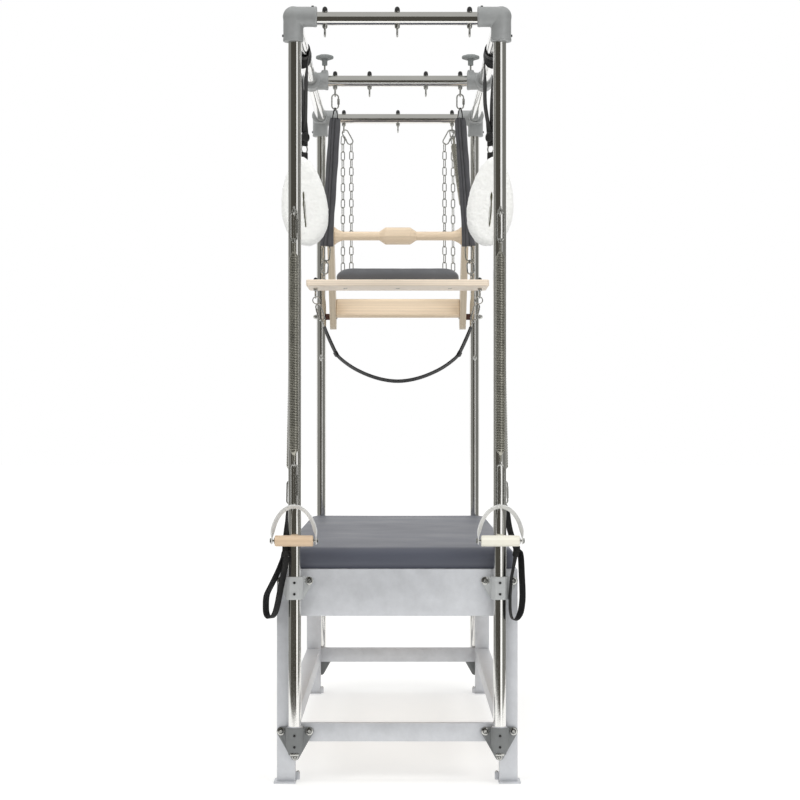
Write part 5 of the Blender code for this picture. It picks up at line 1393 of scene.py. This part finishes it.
class TRAPEZE_OT_hangers(bpy.types.Operator):
    """Models the quick links, padded sleeves and hooks that the swing seat hangs from"""
    bl_idname = "trapeze.hangers"
    bl_label = "Hangers"

    def execute(self, context):
        for side, sign in SIDES.items():
            x = sign * HANGER_X
            top = Vector((x, SLIDER_Y, 2.098))
            foot = Vector((sign * 0.24485, SLIDER_Y, 1.655))
            node = f"swing_hanger_{side}"
            high = quick_link((x, SLIDER_Y, 2.17845), (x, SLIDER_Y, 2.128), 0.023)
            eye = Vector((sign * SEAT_HOLD_X, SLIDER_Y, 1.5585))
            along = (foot - eye).normalized()
            ring = link(foot + along * 0.002, eye + along * 0.046, 0.027, 0.0026)
            ring = coated(ring, oiled_spring_wire())
            low = snap_hook(eye, eye + along * 0.043, 0.023, across=X * sign)
            placed(joined(high, low, ring), f"{side}_hanger_hooks", "swing", "bright_steel", node)
            tabs = []
            for way in (-1, 1):
                path = [
                    (x + way * out, SLIDER_Y, z)
                    for out, z in ((0.001, 2.1315), (0.006, 2.115), (0.009, 2.092))
                ]
                tabs.append(strap(path, 0.024, 0.0028, 16))
            tabs = coated(joined(*tabs), nylon_webbing())
            placed(tabs, f"{side}_hanger_tabs", "swing", "black_webbing", node)
            sleeve = self.sleeve(top, foot)
            placed(sleeve, f"{side}_padded_sleeve", "swing", "sleeve_fabric", node, angle=60)
        return {"FINISHED"}

    def sleeve(self, top, foot):
        """A flat padded tube of cloth, gathered at its top, pleated all along and flared at its foot."""
        span = (foot - top).length
        rings = [(0.0, 0.0150), (0.002, 0.0172), (0.010, 0.0192), (0.030, 0.0203)]
        rings += [(0.030 + (span - 0.085) * number / 12, 0.0203) for number in range(1, 13)]
        rings += [
            (span - 0.040, 0.0206), (span - 0.022, 0.0222), (span - 0.006, 0.0236), (span - 0.001, 0.0238),
            (span, 0.0228), (span, 0.016), (span - 0.006, 0.011),
        ]
        body = turned(rings, 64)
        # Each crease runs down the sleeve: its angle, its depth and its width
        creases = ((-1.75, 0.62, 0.2), (-1.05, 0.3, 0.12), (1.4, 0.62, 0.2), (2.1, 0.3, 0.12))
        for vertex in body.data.vertices:
            turn = math.atan2(vertex.co.y, vertex.co.x)
            along = vertex.co.z / span
            crease = 0.0
            for centre, depth, wide in creases:
                gap = turn - centre - 0.10 * math.sin(5 * along + centre)
                crease += depth * math.exp(-(gap / wide) ** 2)
            puff = 0.05 * math.sin(23 * along + 2 * turn) + 0.03 * math.sin(41 * along - 3 * turn)
            share = 1 - crease + puff * min(1.0, 6 * along, 6 * (1 - along))
            vertex.co.x *= share
            vertex.co.y *= share * (0.54 if along < 0.9 else 0.54 - 0.6 * (along - 0.9))
        modified(body, "SUBSURF", levels=1, render_levels=1)
        return coated(moved(body, stand(top, foot - top, X)), padded_sleeve_cloth())


class TRAPEZE_OT_seat(bpy.types.Operator):
    """Models the swing's plywood board with its eyebolts, nuts and screws, and its pad"""
    bl_idname = "trapeze.seat"
    bl_label = "Swing seat"

    def execute(self, context):
        board = bar((-0.31, SLIDER_Y - 0.14, SEAT_BOTTOM), (0.31, SLIDER_Y + 0.14, SEAT_TOP))
        with editing(board):
            choose("EDGE", lambda edge: abs(edge.verts[0].co.z - edge.verts[1].co.z) > 0.01)
            bpy.ops.mesh.bevel(offset=0.012, segments=6, affect="EDGES")
        parts = [coated(rounded(board, 0.0035, 3), birch_plywood())]
        for sign in (-1, 1):
            parts.append(moved(eyebolt(), stand((sign * SEAT_HOLD_X, SLIDER_Y, SEAT_TOP), Z, X)))
            parts.append(moved(eyebolt(), stand((sign * SEAT_END_X, SLIDER_Y, SEAT_BOTTOM), -Z, X)))
            parts.append(moved(dome_nut(), at(sign * SEAT_END_X, SLIDER_Y, SEAT_TOP)))
        screws = [stand((x, SLIDER_Y, SEAT_BOTTOM), -Z, X) for x in (-0.18, 0, 0.18)]
        parts += repeated(bolt_head(0.007, 0.002), screws)
        placed(joined(*parts), "seat_board", "swing", "board_plywood", "swing_board")

        soft = context.scene.trapeze_soft
        pad = cushion("swing_pad", soft.pad_swell * 0.7, 0.045, 0.015, 5, soft.pad_cell, soft.pad_swell)
        low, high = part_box("swing_pad")
        # The cover is cut narrower at its ends, so the pad falls away there as a crown does.
        for vertex in pad.data.vertices:
            gap = within((high.x - abs(vertex.co.x)) / 0.075)
            vertex.co.z = low.z + (vertex.co.z - low.z) * (1 - 0.45 * (1 - gap) ** 2.4)
        coated(pad, dark_seat_vinyl())
        placed(pad, "seat_pad", "swing", "seat_vinyl", "swing_pad", angle=60)
        return {"FINISHED"}


class TRAPEZE_OT_seat_strap(bpy.types.Operator):
    """Models the webbing strap below the board, with the rings and hooks that hold it"""
    bl_idname = "trapeze.seat_strap"
    bl_label = "Seat strap"

    def execute(self, context):
        webbing = context.scene.trapeze_soft.webbing
        half = [
            (0.2535, 1.3775), (0.233, 1.331), (0.213, 1.289), (0.197, 1.268), (0.155, 1.237), (0.104, 1.212),
            (0.052, 1.196),
        ]
        path = [(-x, SLIDER_Y, z) for x, z in half] + [(0, SLIDER_Y, 1.190)]
        path += [(x, SLIDER_Y, z) for x, z in reversed(half)]
        parts = [strap(path, 0.038, webbing, 120, across=self.tilted)]
        for sign in (-1, 1):
            fold = ((0.2535, 1.377), (0.2455, 1.354), (0.2335, 1.326), (0.2135, 1.2845), (0.2095, 1.279))
            fold = [(sign * x, SLIDER_Y, z) for x, z in fold]
            under = strap(fold, 0.038, webbing, 40, across=self.tilted)
            parts.append(moved(under, at(-sign * 0.0022, 0, -0.0022)))
            sewn = [(sign * 0.2165, SLIDER_Y, 1.292), (sign * 0.2085, SLIDER_Y, 1.277)]
            parts.append(strap(sewn, 0.0385, 0.0085, 8, 0.002, self.tilted))
        web = coated(joined(*parts), nylon_webbing())
        placed(web, "seat_webbing", "seat_strap", "black_webbing", "swing_strap")
        fittings = []
        for sign in (-1, 1):
            seat = Vector((sign * SEAT_END_X, SLIDER_Y, 1.4835))
            low = Vector((sign * 0.2535, SLIDER_Y, 1.378))
            ring_low = seat.lerp(low, 0.26)
            middle = (seat + ring_low) / 2 + Vector((sign * 0.001, 0, -0.001))
            ring = moved(torus(0.0125, 0.0018), stand(middle, seat - ring_low, X * sign))
            hook = snap_hook(ring_low - Z * 0.001, low + (seat - low) * 0.20, 0.019, X * sign)
            eye = link(low + (seat - low) * 0.2, low + (seat - low) * 0.01, 0.016, 0.002, Y)
            fittings += [coated(ring, zinc_plated_steel()), hook, coated(eye, zinc_plated_steel())]
        placed(joined(*fittings), "seat_strap_hooks", "seat_strap", "bright_steel", "swing_strap")
        return {"FINISHED"}

    def tilted(self, spot, run):
        """The strap hangs a little out of level, its near edge the higher."""
        up = run.cross(Y)
        up *= 1 if up.z > 0 else -1
        tilt = 0.24
        return Y * math.cos(tilt) - up * math.sin(tilt)


class TRAPEZE_OT_push_bar(bpy.types.Operator):
    """Models the wooden push-through bar: two arms, a shelf and a turned handle with an eight-sided grip"""
    bl_idname = "trapeze.push_bar"
    bl_label = "Push-through bar"
    HALF = 0.2387

    def execute(self, context):
        for side, sign in SIDES.items():
            discs = [rod((0.239, 0, z), (0.263, 0, z), 0.049, 0.0001, 64) for z in (0.0, BAR_LENGTH)]
            arm = coated(rounded(hulled(*discs), 0.003, 3, 60), lacquered_maple_arms())
            arm = moved(arm, Matrix.Diagonal((sign, 1, 1, 1)))
            parts = [moved(arm, PUSH_BAR)]
            if side == "right":
                parts.append(moved(moved(eyebolt(), at(BAR_EYE_X, 0, BAR_EYE_Z)), PUSH_BAR))
            placed(joined(*parts), f"{side}_bar_arm", "push_bar", "arm_wood", f"push_bar_arm_{side}")
        shelf = bar((-self.HALF, -0.044, 0.038), (self.HALF, 0.044, 0.056), 0.003, 3)
        shelf = moved(coated(shelf, lacquered_maple_handle()), PUSH_BAR)
        placed(shelf, "bar_shelf", "push_bar", "arm_wood", "push_bar_shelf")
        place = PUSH_BAR @ at(0, 0, BAR_LENGTH)
        half = [(self.HALF, 0.0325), (0.2350, 0.033), (0.2270, 0.026), (0.2160, 0.0205), (0.2037, 0.0165)]
        rings = [(-x, radius) for x, radius in half] + [(-0.060, 0.0165), (0.060, 0.0165)]
        rings += [(x, radius) for x, radius in reversed(half)]
        handle = moved(turned(rings), stand((0, 0, 0), X, Y))
        swell = turned([(-0.070, 0.0166), (-0.0465, 0.0325), (0.0465, 0.0325), (0.070, 0.0166)], 8)
        swell = moved(rounded(swell, 0.002, 2, 20), stand((0, 0, 0), X, Y))
        grip = coated(joined(handle, swell), lacquered_maple_handle())
        placed(moved(grip, place), "bar_handle", "push_bar", "arm_wood", "push_bar_handle")
        return {"FINISHED"}


def hook_and_neck(top, low, along, neck):
    """The hooked end of a spring: its snap hook, and the rod and cone that run into the coil."""
    radius = bpy.context.scene.trapeze_hardware.spring_radius
    hook = snap_hook(top, low, 0.020)
    plug = turned(
        [(-0.002, 0.0042), (neck - 0.013, 0.0042), (neck - 0.010, 0.0056), (neck, radius - 0.003),
         (neck + 0.004, radius - 0.0035)],
        28,
    )
    return joined(hook, coated(moved(plug, stand(low, along, X)), oiled_spring_wire()))


class TRAPEZE_OT_bar_spring(bpy.types.Operator):
    """Models the short spring between the far top rail and the bar's right arm"""
    bl_idname = "trapeze.bar_spring"
    bl_label = "Bar spring"

    def execute(self, context):
        start = Vector((RAIL_EYE_X, 1.0782, 2.18035))
        eye = PUSH_BAR @ Vector((BAR_EYE_X, 0, BAR_EYE_Z + 0.0225))
        along = (eye - start).normalized()
        end = eye - along * 0.0035
        hook, neck = 0.047, 0.050
        top, low = start + along * hook, end - along * hook
        upper = hook_and_neck(start, top, along, neck)
        placed(upper, "bar_spring_top_hook", "frame", "bright_steel", "push_bar_spring")
        lower = hook_and_neck(end, low, -along, neck)
        placed(lower, "bar_spring_low_hook", "push_bar", "bright_steel", "push_bar_hook")
        first, last = top + along * neck, low - along * neck
        bodies = ("frame", "push_bar", first, last)
        placed(coil(first, last), "bar_spring_coil", bodies, "spring_steel", "push_bar_spring", angle=180)
        return {"FINISHED"}


def long_spring(name, eye, along, body, puller, hook_end):
    """A hung spring: hook and neck, a coil that runs between two bodies, and the hooks of its foot."""
    start = eye + along * 0.004
    hook, neck, wound = 0.082, 0.044, 0.563
    upper = hook_and_neck(start, start + along * hook, along, neck)
    placed(upper, f"{name}_hook", body, "bright_steel", body)
    first = start + along * (hook + neck)
    last = first + along * wound
    placed(coil(first, last), f"{name}_coil", (body, puller, first, last), "spring_steel", body, angle=180)
    tail = turned([(-0.004, 0.0105), (0.0, 0.011), (0.009, 0.0056), (0.012, 0.0042), (0.031, 0.0042)], 28)
    tail = coated(moved(tail, stand(last, along, X)), oiled_spring_wire())
    ring = coated(torus(0.0065, 0.0022, 20, 8), zinc_plated_steel())
    centre = last + along * 0.0365
    ring = moved(ring, stand(centre, -along, Y))
    low = snap_hook(centre + along * 0.002, hook_end, 0.020, swivel=False)
    placed(joined(tail, ring, low), f"{name}_tail", puller, "bright_steel", body)


class TRAPEZE_OT_arm_springs(bpy.types.Operator):
    """Models the long springs in front of the near posts"""
    bl_idname = "trapeze.arm_springs"
    bl_label = "Arm springs"

    def execute(self, context):
        for side, sign in SIDES.items():
            eye = Vector((sign * POST_X, ARM_SPRING_Y, ARM_EYE_Z))
            foot = eye - Z * 0.8525
            long_spring(f"{side}_arm", eye, -Z, f"arm_spring_{side}", f"handle_{side}", foot)
        return {"FINISHED"}


class TRAPEZE_OT_handles(bpy.types.Operator):
    """Models the bright bows and the turned wooden grips of the arm springs"""
    bl_idname = "trapeze.handles"
    bl_label = "Handles"

    def execute(self, context):
        for side, sign in SIDES.items():
            middle = Vector((sign * POST_X, ARM_SPRING_Y, GRIP_Z))
            half, high, lug = 0.0640, 0.099, 0.010
            path = [middle + Vector((-half, 0, -lug))]
            for step in range(25):
                turn = math.pi * (1 - step / 24)
                path.append(middle + Vector((half * math.cos(turn), 0, high * math.sin(turn))))
            path.append(middle + Vector((half, 0, -lug)))
            parts = [coated(strap(path, 0.020, 0.003, 72, 0.0008, self.dished), polished_bow_steel())]
            axle = rod(middle - X * 0.067, middle + X * 0.067, 0.004, 0.0005, 20)
            parts.append(coated(axle, zinc_plated_steel()))
            for way in (-1, 1):
                nut = turned([(0.0652, 0.0078), (0.0688, 0.0078), (0.0698, 0.0068)], 6)
                washer = turned([(0.0566, 0.0095), (0.0576, 0.0095)], 24)
                nut = coated(joined(nut, washer), zinc_plated_steel())
                parts.append(moved(nut, stand(middle, X * way, Y)))
            bow = joined(*parts)
            placed(bow, f"{side}_handle_bow", f"handle_{side}", "bright_steel", f"handle_bow_{side}")
            half = [(0.0555, 0.0135), (0.0545, 0.0154), (0.052, 0.016), (0.02, 0.0162)]
            rings = [(-x, radius) for x, radius in half] + half[::-1]
            grip = moved(turned(rings), stand(middle, X, Y))
            coated(grip, turned_beech_grip() if side == "left" else turned_maple_grip())
            placed(grip, f"{side}_wooden_grip", f"grip_{side}", "grip_wood", f"handle_grip_{side}")
        return {"FINISHED"}

    def dished(self, spot, run):
        """The band is square to its lugs and dished above them, its near edge on the larger arc."""
        lean = math.radians(33) * within((spot.z - 0.718) / 0.022)
        return Y * math.cos(lean) - run.cross(Y) * math.sin(lean)


class TRAPEZE_OT_leg_springs(bpy.types.Operator):
    """Models the springs behind the near posts, and their webbing foot loops"""
    bl_idname = "trapeze.leg_springs"
    bl_label = "Leg springs and foot loops"
    STRAPS = {
        "left": ((-0.3128, 0.818), (-0.3190, 0.795), (-0.3222, 0.750), (-0.3235, 0.705), (-0.3240, 0.668)),
        "right": ((0.3128, 0.818), (0.3195, 0.795), (0.3245, 0.757), (0.3300, 0.730), (0.3420, 0.694),
                  (0.3465, 0.682)),
    }
    LOOPS = {
        "left": ((-0.3240, 0.676), (-0.3290, 0.660), (-0.3400, 0.632), (-0.3520, 0.606), (-0.3655, 0.579),
                 (-0.3800, 0.548), (-0.3825, 0.514), (-0.3800, 0.493), (-0.3720, 0.483), (-0.3630, 0.486),
                 (-0.3540, 0.500), (-0.3470, 0.525), (-0.3410, 0.555), (-0.3350, 0.585), (-0.3285, 0.615),
                 (-0.3230, 0.645), (-0.3222, 0.662)),
        "right": ((0.3465, 0.684), (0.3555, 0.676), (0.3590, 0.660), (0.3605, 0.640), (0.3620, 0.606),
                  (0.3638, 0.571), (0.3638, 0.536), (0.3590, 0.503), (0.3500, 0.484), (0.3415, 0.479),
                  (0.3330, 0.484), (0.3275, 0.503), (0.3265, 0.536), (0.3280, 0.571), (0.3315, 0.606),
                  (0.3385, 0.640), (0.3430, 0.665), (0.3460, 0.681)),
    }

    def execute(self, context):
        for side, sign in SIDES.items():
            eye = Vector((sign * POST_X, LEG_SPRING_Y, LEG_EYE_Z))
            along = (Vector((sign * 0.31255, LEG_SPRING_Y, 0.815)) - eye).normalized()
            foot = Vector((sign * 0.3128, LEG_SPRING_Y, 0.8125))
            long_spring(f"{side}_leg", eye, along, f"leg_spring_{side}", f"foot_loop_{side}", foot)
            self.loop(side)
        return {"FINISHED"}

    def loop(self, side):
        """A strap that runs down from its hook and a loop sewn to its end, both of one webbing."""
        webbing = bpy.context.scene.trapeze_soft.webbing
        sign = SIDES[side]

        def across(spot, run):
            """Turned towards the near end, the inner strand of the right loop less than the others."""
            inner = 1 - within((abs(spot.x) - 0.338) / 0.018)
            turn = math.radians(33 - (23 * inner if side == "right" and spot.z < 0.665 else 0))
            turn *= within((0.825 - spot.z) / 0.03)
            if side == "left":
                turn *= 0.45 + 0.55 * within((0.765 - spot.z) / 0.05)
            return Y * math.cos(turn) - X * sign * math.sin(turn)

        parts = [strap(self.placed_path(self.STRAPS[side]), 0.028, webbing, 50, across=across)]
        parts.append(strap(self.placed_path(self.LOOPS[side]), 0.028, webbing, 110, across=across))
        join = self.STRAPS[side][-1]
        sewn = self.placed_path([(join[0], join[1] + 0.012), (join[0], join[1] - 0.006)])
        parts.append(strap(sewn, 0.0285, 2.6 * webbing, 8, 0.002, across))
        top = self.placed_path(self.STRAPS[side][:2])
        turn = torus(0.0045, 0.002, 20, 8)
        turn = coated(moved(turn, stand(top[0] + Z * 0.001, Z, Y)), zinc_plated_steel())
        web = joined(coated(joined(*parts), nylon_webbing()), turn)
        placed(web, f"{side}_foot_webbing", f"foot_loop_{side}", "black_webbing", f"foot_loop_{side}")

    def placed_path(self, points):
        """The points at the depth where the loop hangs: behind the post above, in front of it below."""
        path = []
        for x, z in points:
            forward = 0.04755 + 0.66 * (0.345 - abs(x))
            path.append(Vector((x, LEG_SPRING_Y - eased(within((0.800 - z) / 0.135)) * forward, z)))
        return path


class TRAPEZE_OT_cuffs(bpy.types.Operator):
    """Models the fleece cuffs, with the bands, straps, buckles and rings that hang them"""
    bl_idname = "trapeze.cuffs"
    bl_label = "Cuffs"
    # The two strands of each strap, left then right of the rail's middle, from the rail down.
    STRANDS = {
        "left": (((-0.0160, 2.190), (-0.0085, 2.130), (-0.0040, 2.050), (-0.0026, 1.974)),
                 ((0.0145, 2.190), (0.0085, 2.130), (0.0055, 2.050), (0.0030, 1.974))),
        "right": (((-0.0190, 2.190), (-0.0185, 2.130), (-0.0170, 2.060), (-0.0030, 1.974)),
                  ((0.0145, 2.190), (0.0065, 2.130), (0.0022, 2.060), (0.0026, 1.974))),
    }

    def execute(self, context):
        webbing = context.scene.trapeze_soft.webbing
        for side, sign in SIDES.items():
            x = sign * POST_X
            cuff = f"cuff_{side}"
            turned_in = self.turned_in(sign)
            web = [strap(self.wound(x, side), 0.028, webbing, 420, across=turned_in)]
            for top, bottom, steps in ((1.950, 1.932, 12), (1.912, 1.884, 14)):
                fold = [(x, CUFF_Y, top), (x, CUFF_Y, bottom)]
                web.append(strap(fold, 0.028, 2 * webbing, steps, 0.0008, turned_in))
            web.append(self.hitch(x, sign))
            web = coated(joined(*web), nylon_webbing())
            placed(web, f"{side}_cuff_webbing", cuff, "black_webbing", cuff)
            self.buckle(x, sign, side)
            fleece = self.fleece(x, sign)
            placed(fleece, f"{side}_cuff_fleece", cuff, "sheepskin", cuff, angle=180)
            placed(self.lining(x, sign), f"{side}_cuff_lining", cuff, "sheepskin", cuff)
        return {"FINISHED"}

    def wound(self, x, side):
        """Up from the buckle, three and a half times round the rail towards the near end, and down again."""
        first, last = self.STRANDS[side]
        path = [Vector((x + along, CUFF_Y, z)) for along, z in reversed(first)]
        turns, steps, radius, reach = 3 * 360 + 220, 96, 0.0217, 0.098
        for step in range(steps + 1):
            turn = math.radians(200 - turns * step / steps)
            y = CUFF_Y - reach * step / steps
            path.append(Vector((x + radius * math.cos(turn), y, RAIL_Z + radius * math.sin(turn))))
        for along, z in last:
            y = CUFF_Y - reach * (z - STRANDS_Z) / (RAIL_Z - STRANDS_Z)
            path.append(Vector((x + along, y, z)))
        return path

    def turned_in(self, sign):
        """The webbing lies along the rail and turns inwards a little as it hangs, most at the buckle."""
        def across(spot, run):
            turn = 17 * eased(within((2.195 - spot.z) / 0.07)) + 23 * within((2.01 - spot.z) / 0.04)
            turn = math.radians(turn)
            return Y * math.cos(turn) - X * sign * math.sin(turn)
        return across

    def hitch(self, x, sign):
        """The turn of webbing that hugs the rail from below, its face bunched towards the near end."""
        centre = Vector((x, CUFF_Y, RAIL_Z))
        points, leans = [], []
        for step in range(33):
            turn = math.radians(195 + 150 * step / 32)
            side = math.degrees(turn) - (270 + 20 * sign)
            lean = math.radians(66) * math.exp(-(side / 52) ** 2)
            out = Vector((math.cos(turn), 0, math.sin(turn)))
            half = 0.014
            raised, forward = 0.0224 + half * math.sin(lean), 0.012 + half * math.cos(lean)
            points.append(centre + out * raised - Y * forward)
            leans.append((out, lean))

        def across(spot, run):
            out, lean = min(zip(points, leans), key=lambda pair: (pair[0] - spot).length)[1]
            return Y * math.cos(lean) + out * math.sin(lean)

        return strap(points, 0.028, bpy.context.scene.trapeze_soft.webbing, 64, across=across)

    def buckle(self, x, sign, side):
        """A round buckle on the face of the webbing, and the ring that hangs below it."""
        cuff = f"cuff_{side}"
        across = self.turned_in(sign)(Vector((x, CUFF_Y, 1.9)), Z)
        face = Vector((across.y * -sign, -abs(across.x), 0))
        disc = turned(
            [(-0.006, 0.0135), (-0.0045, 0.016), (0.0045, 0.016), (0.006, 0.0145), (0.0062, 0.011),
             (0.0045, 0.0095), (0.0045, 0.002)],
            40,
        )
        disc = moved(disc, stand(Vector((x, CUFF_Y, 1.960)) + face * 0.004, face, Z))
        placed(coated(disc, black_nylon_nut()), f"{side}_cuff_buckle", cuff, "knob_plastic", cuff)
        ring = link((x, CUFF_Y, 1.9365), (x, CUFF_Y, 1.9085), 0.028, 0.0022, across)
        placed(coated(ring, zinc_plated_steel()), f"{side}_cuff_ring", cuff, "bright_steel", cuff)

    def outline(self, turn):
        """A point of the pear that the fleece makes, seen along the rail: its X and Z from the middle."""
        return 0.0715 * math.cos(turn) * (1 - 0.22 * math.sin(turn)), 0.1405 * math.sin(turn)

    def leaning(self, obj, sign):
        """Leans a cuff so that its foot hangs a little further in."""
        for vertex in obj.data.vertices:
            vertex.co.x -= sign * 0.010 * (CUFF_Z - vertex.co.z) / 0.14
        return obj

    def fleece(self, x, sign):
        """A thick loop of fleece with a narrow opening, raised in curls."""
        soft = bpy.context.scene.trapeze_soft
        thick = 0.078
        obj = fresh(
            bpy.ops.mesh.primitive_circle_add, vertices=96, radius=1, fill_type="NGON", location=(0, 0, 0)
        )
        for vertex in obj.data.vertices:
            wide, high = self.outline(math.atan2(vertex.co.y, vertex.co.x))
            vertex.co = (x + wide, CUFF_Y - thick / 2, CUFF_Z + high)
        with editing(obj):
            bpy.ops.mesh.extrude_region_move(TRANSFORM_OT_translate={"value": (0, thick, 0)})
            face_outwards()
        rounded(obj, 0.024, 4, 60)
        slot = rod((x, CUFF_Y - 0.06, SLIT_Z), (x, CUFF_Y + 0.06, SLIT_Z), 1, 0.001, 48)
        for vertex in slot.data.vertices:
            vertex.co.x = x + (vertex.co.x - x) * 0.0034
            vertex.co.z = SLIT_Z + (vertex.co.z - SLIT_Z) * 0.070
        cut(obj, slot)
        modified(obj, "REMESH", mode="VOXEL", voxel_size=soft.fleece_cell)
        modified(obj, "SMOOTH", factor=0.5, iterations=8)
        for name, size, share in (("locks", 0.022, 0.9), ("curls", 0.008, 0.6), ("hair", 0.003, 0.25)):
            texture = bpy.data.textures.get(name) or bpy.data.textures.new(name, "CLOUDS")
            texture.noise_scale = size
            texture.noise_depth = 2
            modified(
                obj, "DISPLACE", texture=texture, texture_coords="LOCAL", mid_level=0.45,
                strength=soft.curl_height * share,
            )
        return coated(self.leaning(obj, sign), white_sheepskin())

    def lining(self, x, sign):
        """The suede back of the hide, seen inside the opening."""
        turn = [math.radians(90 + 360 * step / 60) for step in range(61)]
        path = [(x + 0.0027 * math.cos(t), CUFF_Y, SLIT_Z + 0.067 * math.sin(t)) for t in turn]
        return coated(self.leaning(strap(path, 0.070, 0.0016, 120), sign), olive_suede())


class TRAPEZE_OT_chains(bpy.types.Operator):
    """Models the two loops of chain at the far top rail, with their quick links"""
    bl_idname = "trapeze.chains"
    bl_label = "Chains"
    INNER_X, OUTER_X = 0.181, 0.214

    def execute(self, context):
        sizes = context.scene.trapeze_hardware
        for side, sign in SIDES.items():
            path = self.path(sign)
            line, span = smooth_line(path, 1 + 2 * round(self.reach(path) / sizes.chain_pitch))
            pitch = span / ((len(line) - 1) / 2)
            half = pitch / 2 + 0.0019
            master = link((0, 0, half), (0, 0, -half), 0.0150, sizes.chain_wire, X, 16, 6)
            places = []
            for number in range(1, len(line), 2):
                along = line[number - 1] - line[min(number + 1, len(line) - 1)]
                turn = math.radians(25 + 90 * (number // 2 % 2))
                places.append(stand(line[number], along, Y) @ Matrix.Rotation(turn, 4, "Z"))
            links = coated(joined(*repeated(master, places)), zinc_plated_steel())
            top = (sign * RAIL_EYE_X, CHAIN_Y, 2.1796)
            foot = (sign * self.INNER_X, CHAIN_Y, CHAIN_TOP - 0.0013)
            closer = quick_link(top, foot, 0.023, X * sign)
            chain = f"chain_{side}"
            placed(joined(links, closer), f"{side}_hanging_chain", chain, "bright_steel", chain)
        return {"FINISHED"}

    def path(self, sign):
        """From the inner end down, round the turn and up to the outer end."""
        half = (self.OUTER_X - self.INNER_X) / 2
        points = [(self.INNER_X, CHAIN_TOP - 0.0845 * step) for step in range(7)]
        for step in range(7):
            turn = math.pi * (1 + step / 6)
            points.append((self.INNER_X + half + half * math.cos(turn), CHAIN_TURN_Z + half * math.sin(turn)))
        points += [(self.OUTER_X, CHAIN_TURN_Z + 0.0875 * step) for step in range(1, 7)]
        points.append((0.2125, 2.151))
        return [(sign * x, CHAIN_Y, z) for x, z in points]

    def reach(self, path):
        return sum((Vector(b) - Vector(a)).length for a, b in zip(path, path[1:]))


class TRAPEZE_PT_panel(bpy.types.Panel):
    """The pieces of the trapeze table, one button each, and their sizes and colours"""
    bl_label = "Trapeze table"
    bl_idname = "TRAPEZE_PT_panel"
    bl_space_type = "VIEW_3D"
    bl_region_type = "UI"
    bl_category = "Trapeze table"

    def draw(self, context):
        for operator in OPERATORS:
            self.layout.operator(operator.bl_idname)
        for group in (getattr(context.scene, name) for name in GROUPS):
            box = self.layout.box()
            for name in group.bl_rna.properties.keys():
                if name not in ("rna_type", "name"):
                    box.prop(group, name)


GROUPS = {
    "trapeze_frame": TrapezeFrameSizes,
    "trapeze_soft": TrapezeSoftSizes,
    "trapeze_hardware": TrapezeHardwareSizes,
    "trapeze_colours": TrapezeColours,
}
OPERATORS = (
    TRAPEZE_OT_stage,
    TRAPEZE_OT_base,
    TRAPEZE_OT_mattress,
    TRAPEZE_OT_brackets,
    TRAPEZE_OT_posts,
    TRAPEZE_OT_top_rails,
    TRAPEZE_OT_corner_fittings,
    TRAPEZE_OT_slider,
    TRAPEZE_OT_hangers,
    TRAPEZE_OT_seat,
    TRAPEZE_OT_seat_strap,
    TRAPEZE_OT_push_bar,
    TRAPEZE_OT_bar_spring,
    TRAPEZE_OT_arm_springs,
    TRAPEZE_OT_handles,
    TRAPEZE_OT_leg_springs,
    TRAPEZE_OT_cuffs,
    TRAPEZE_OT_chains,
)


def register():
    for kind in (*GROUPS.values(), *OPERATORS, TRAPEZE_PT_panel):
        bpy.utils.register_class(kind)
    for name, kind in GROUPS.items():
        setattr(bpy.types.Scene, name, PointerProperty(type=kind))


def unregister():
    for name in GROUPS:
        delattr(bpy.types.Scene, name)
    for kind in (TRAPEZE_PT_panel, *reversed(OPERATORS), *GROUPS.values()):
        bpy.utils.unregister_class(kind)


def main():
    register()
    for operator in OPERATORS:
        group, name = operator.bl_idname.split(".")
        getattr(getattr(bpy.ops, group), name)()


if __name__ == "__main__":
    main()
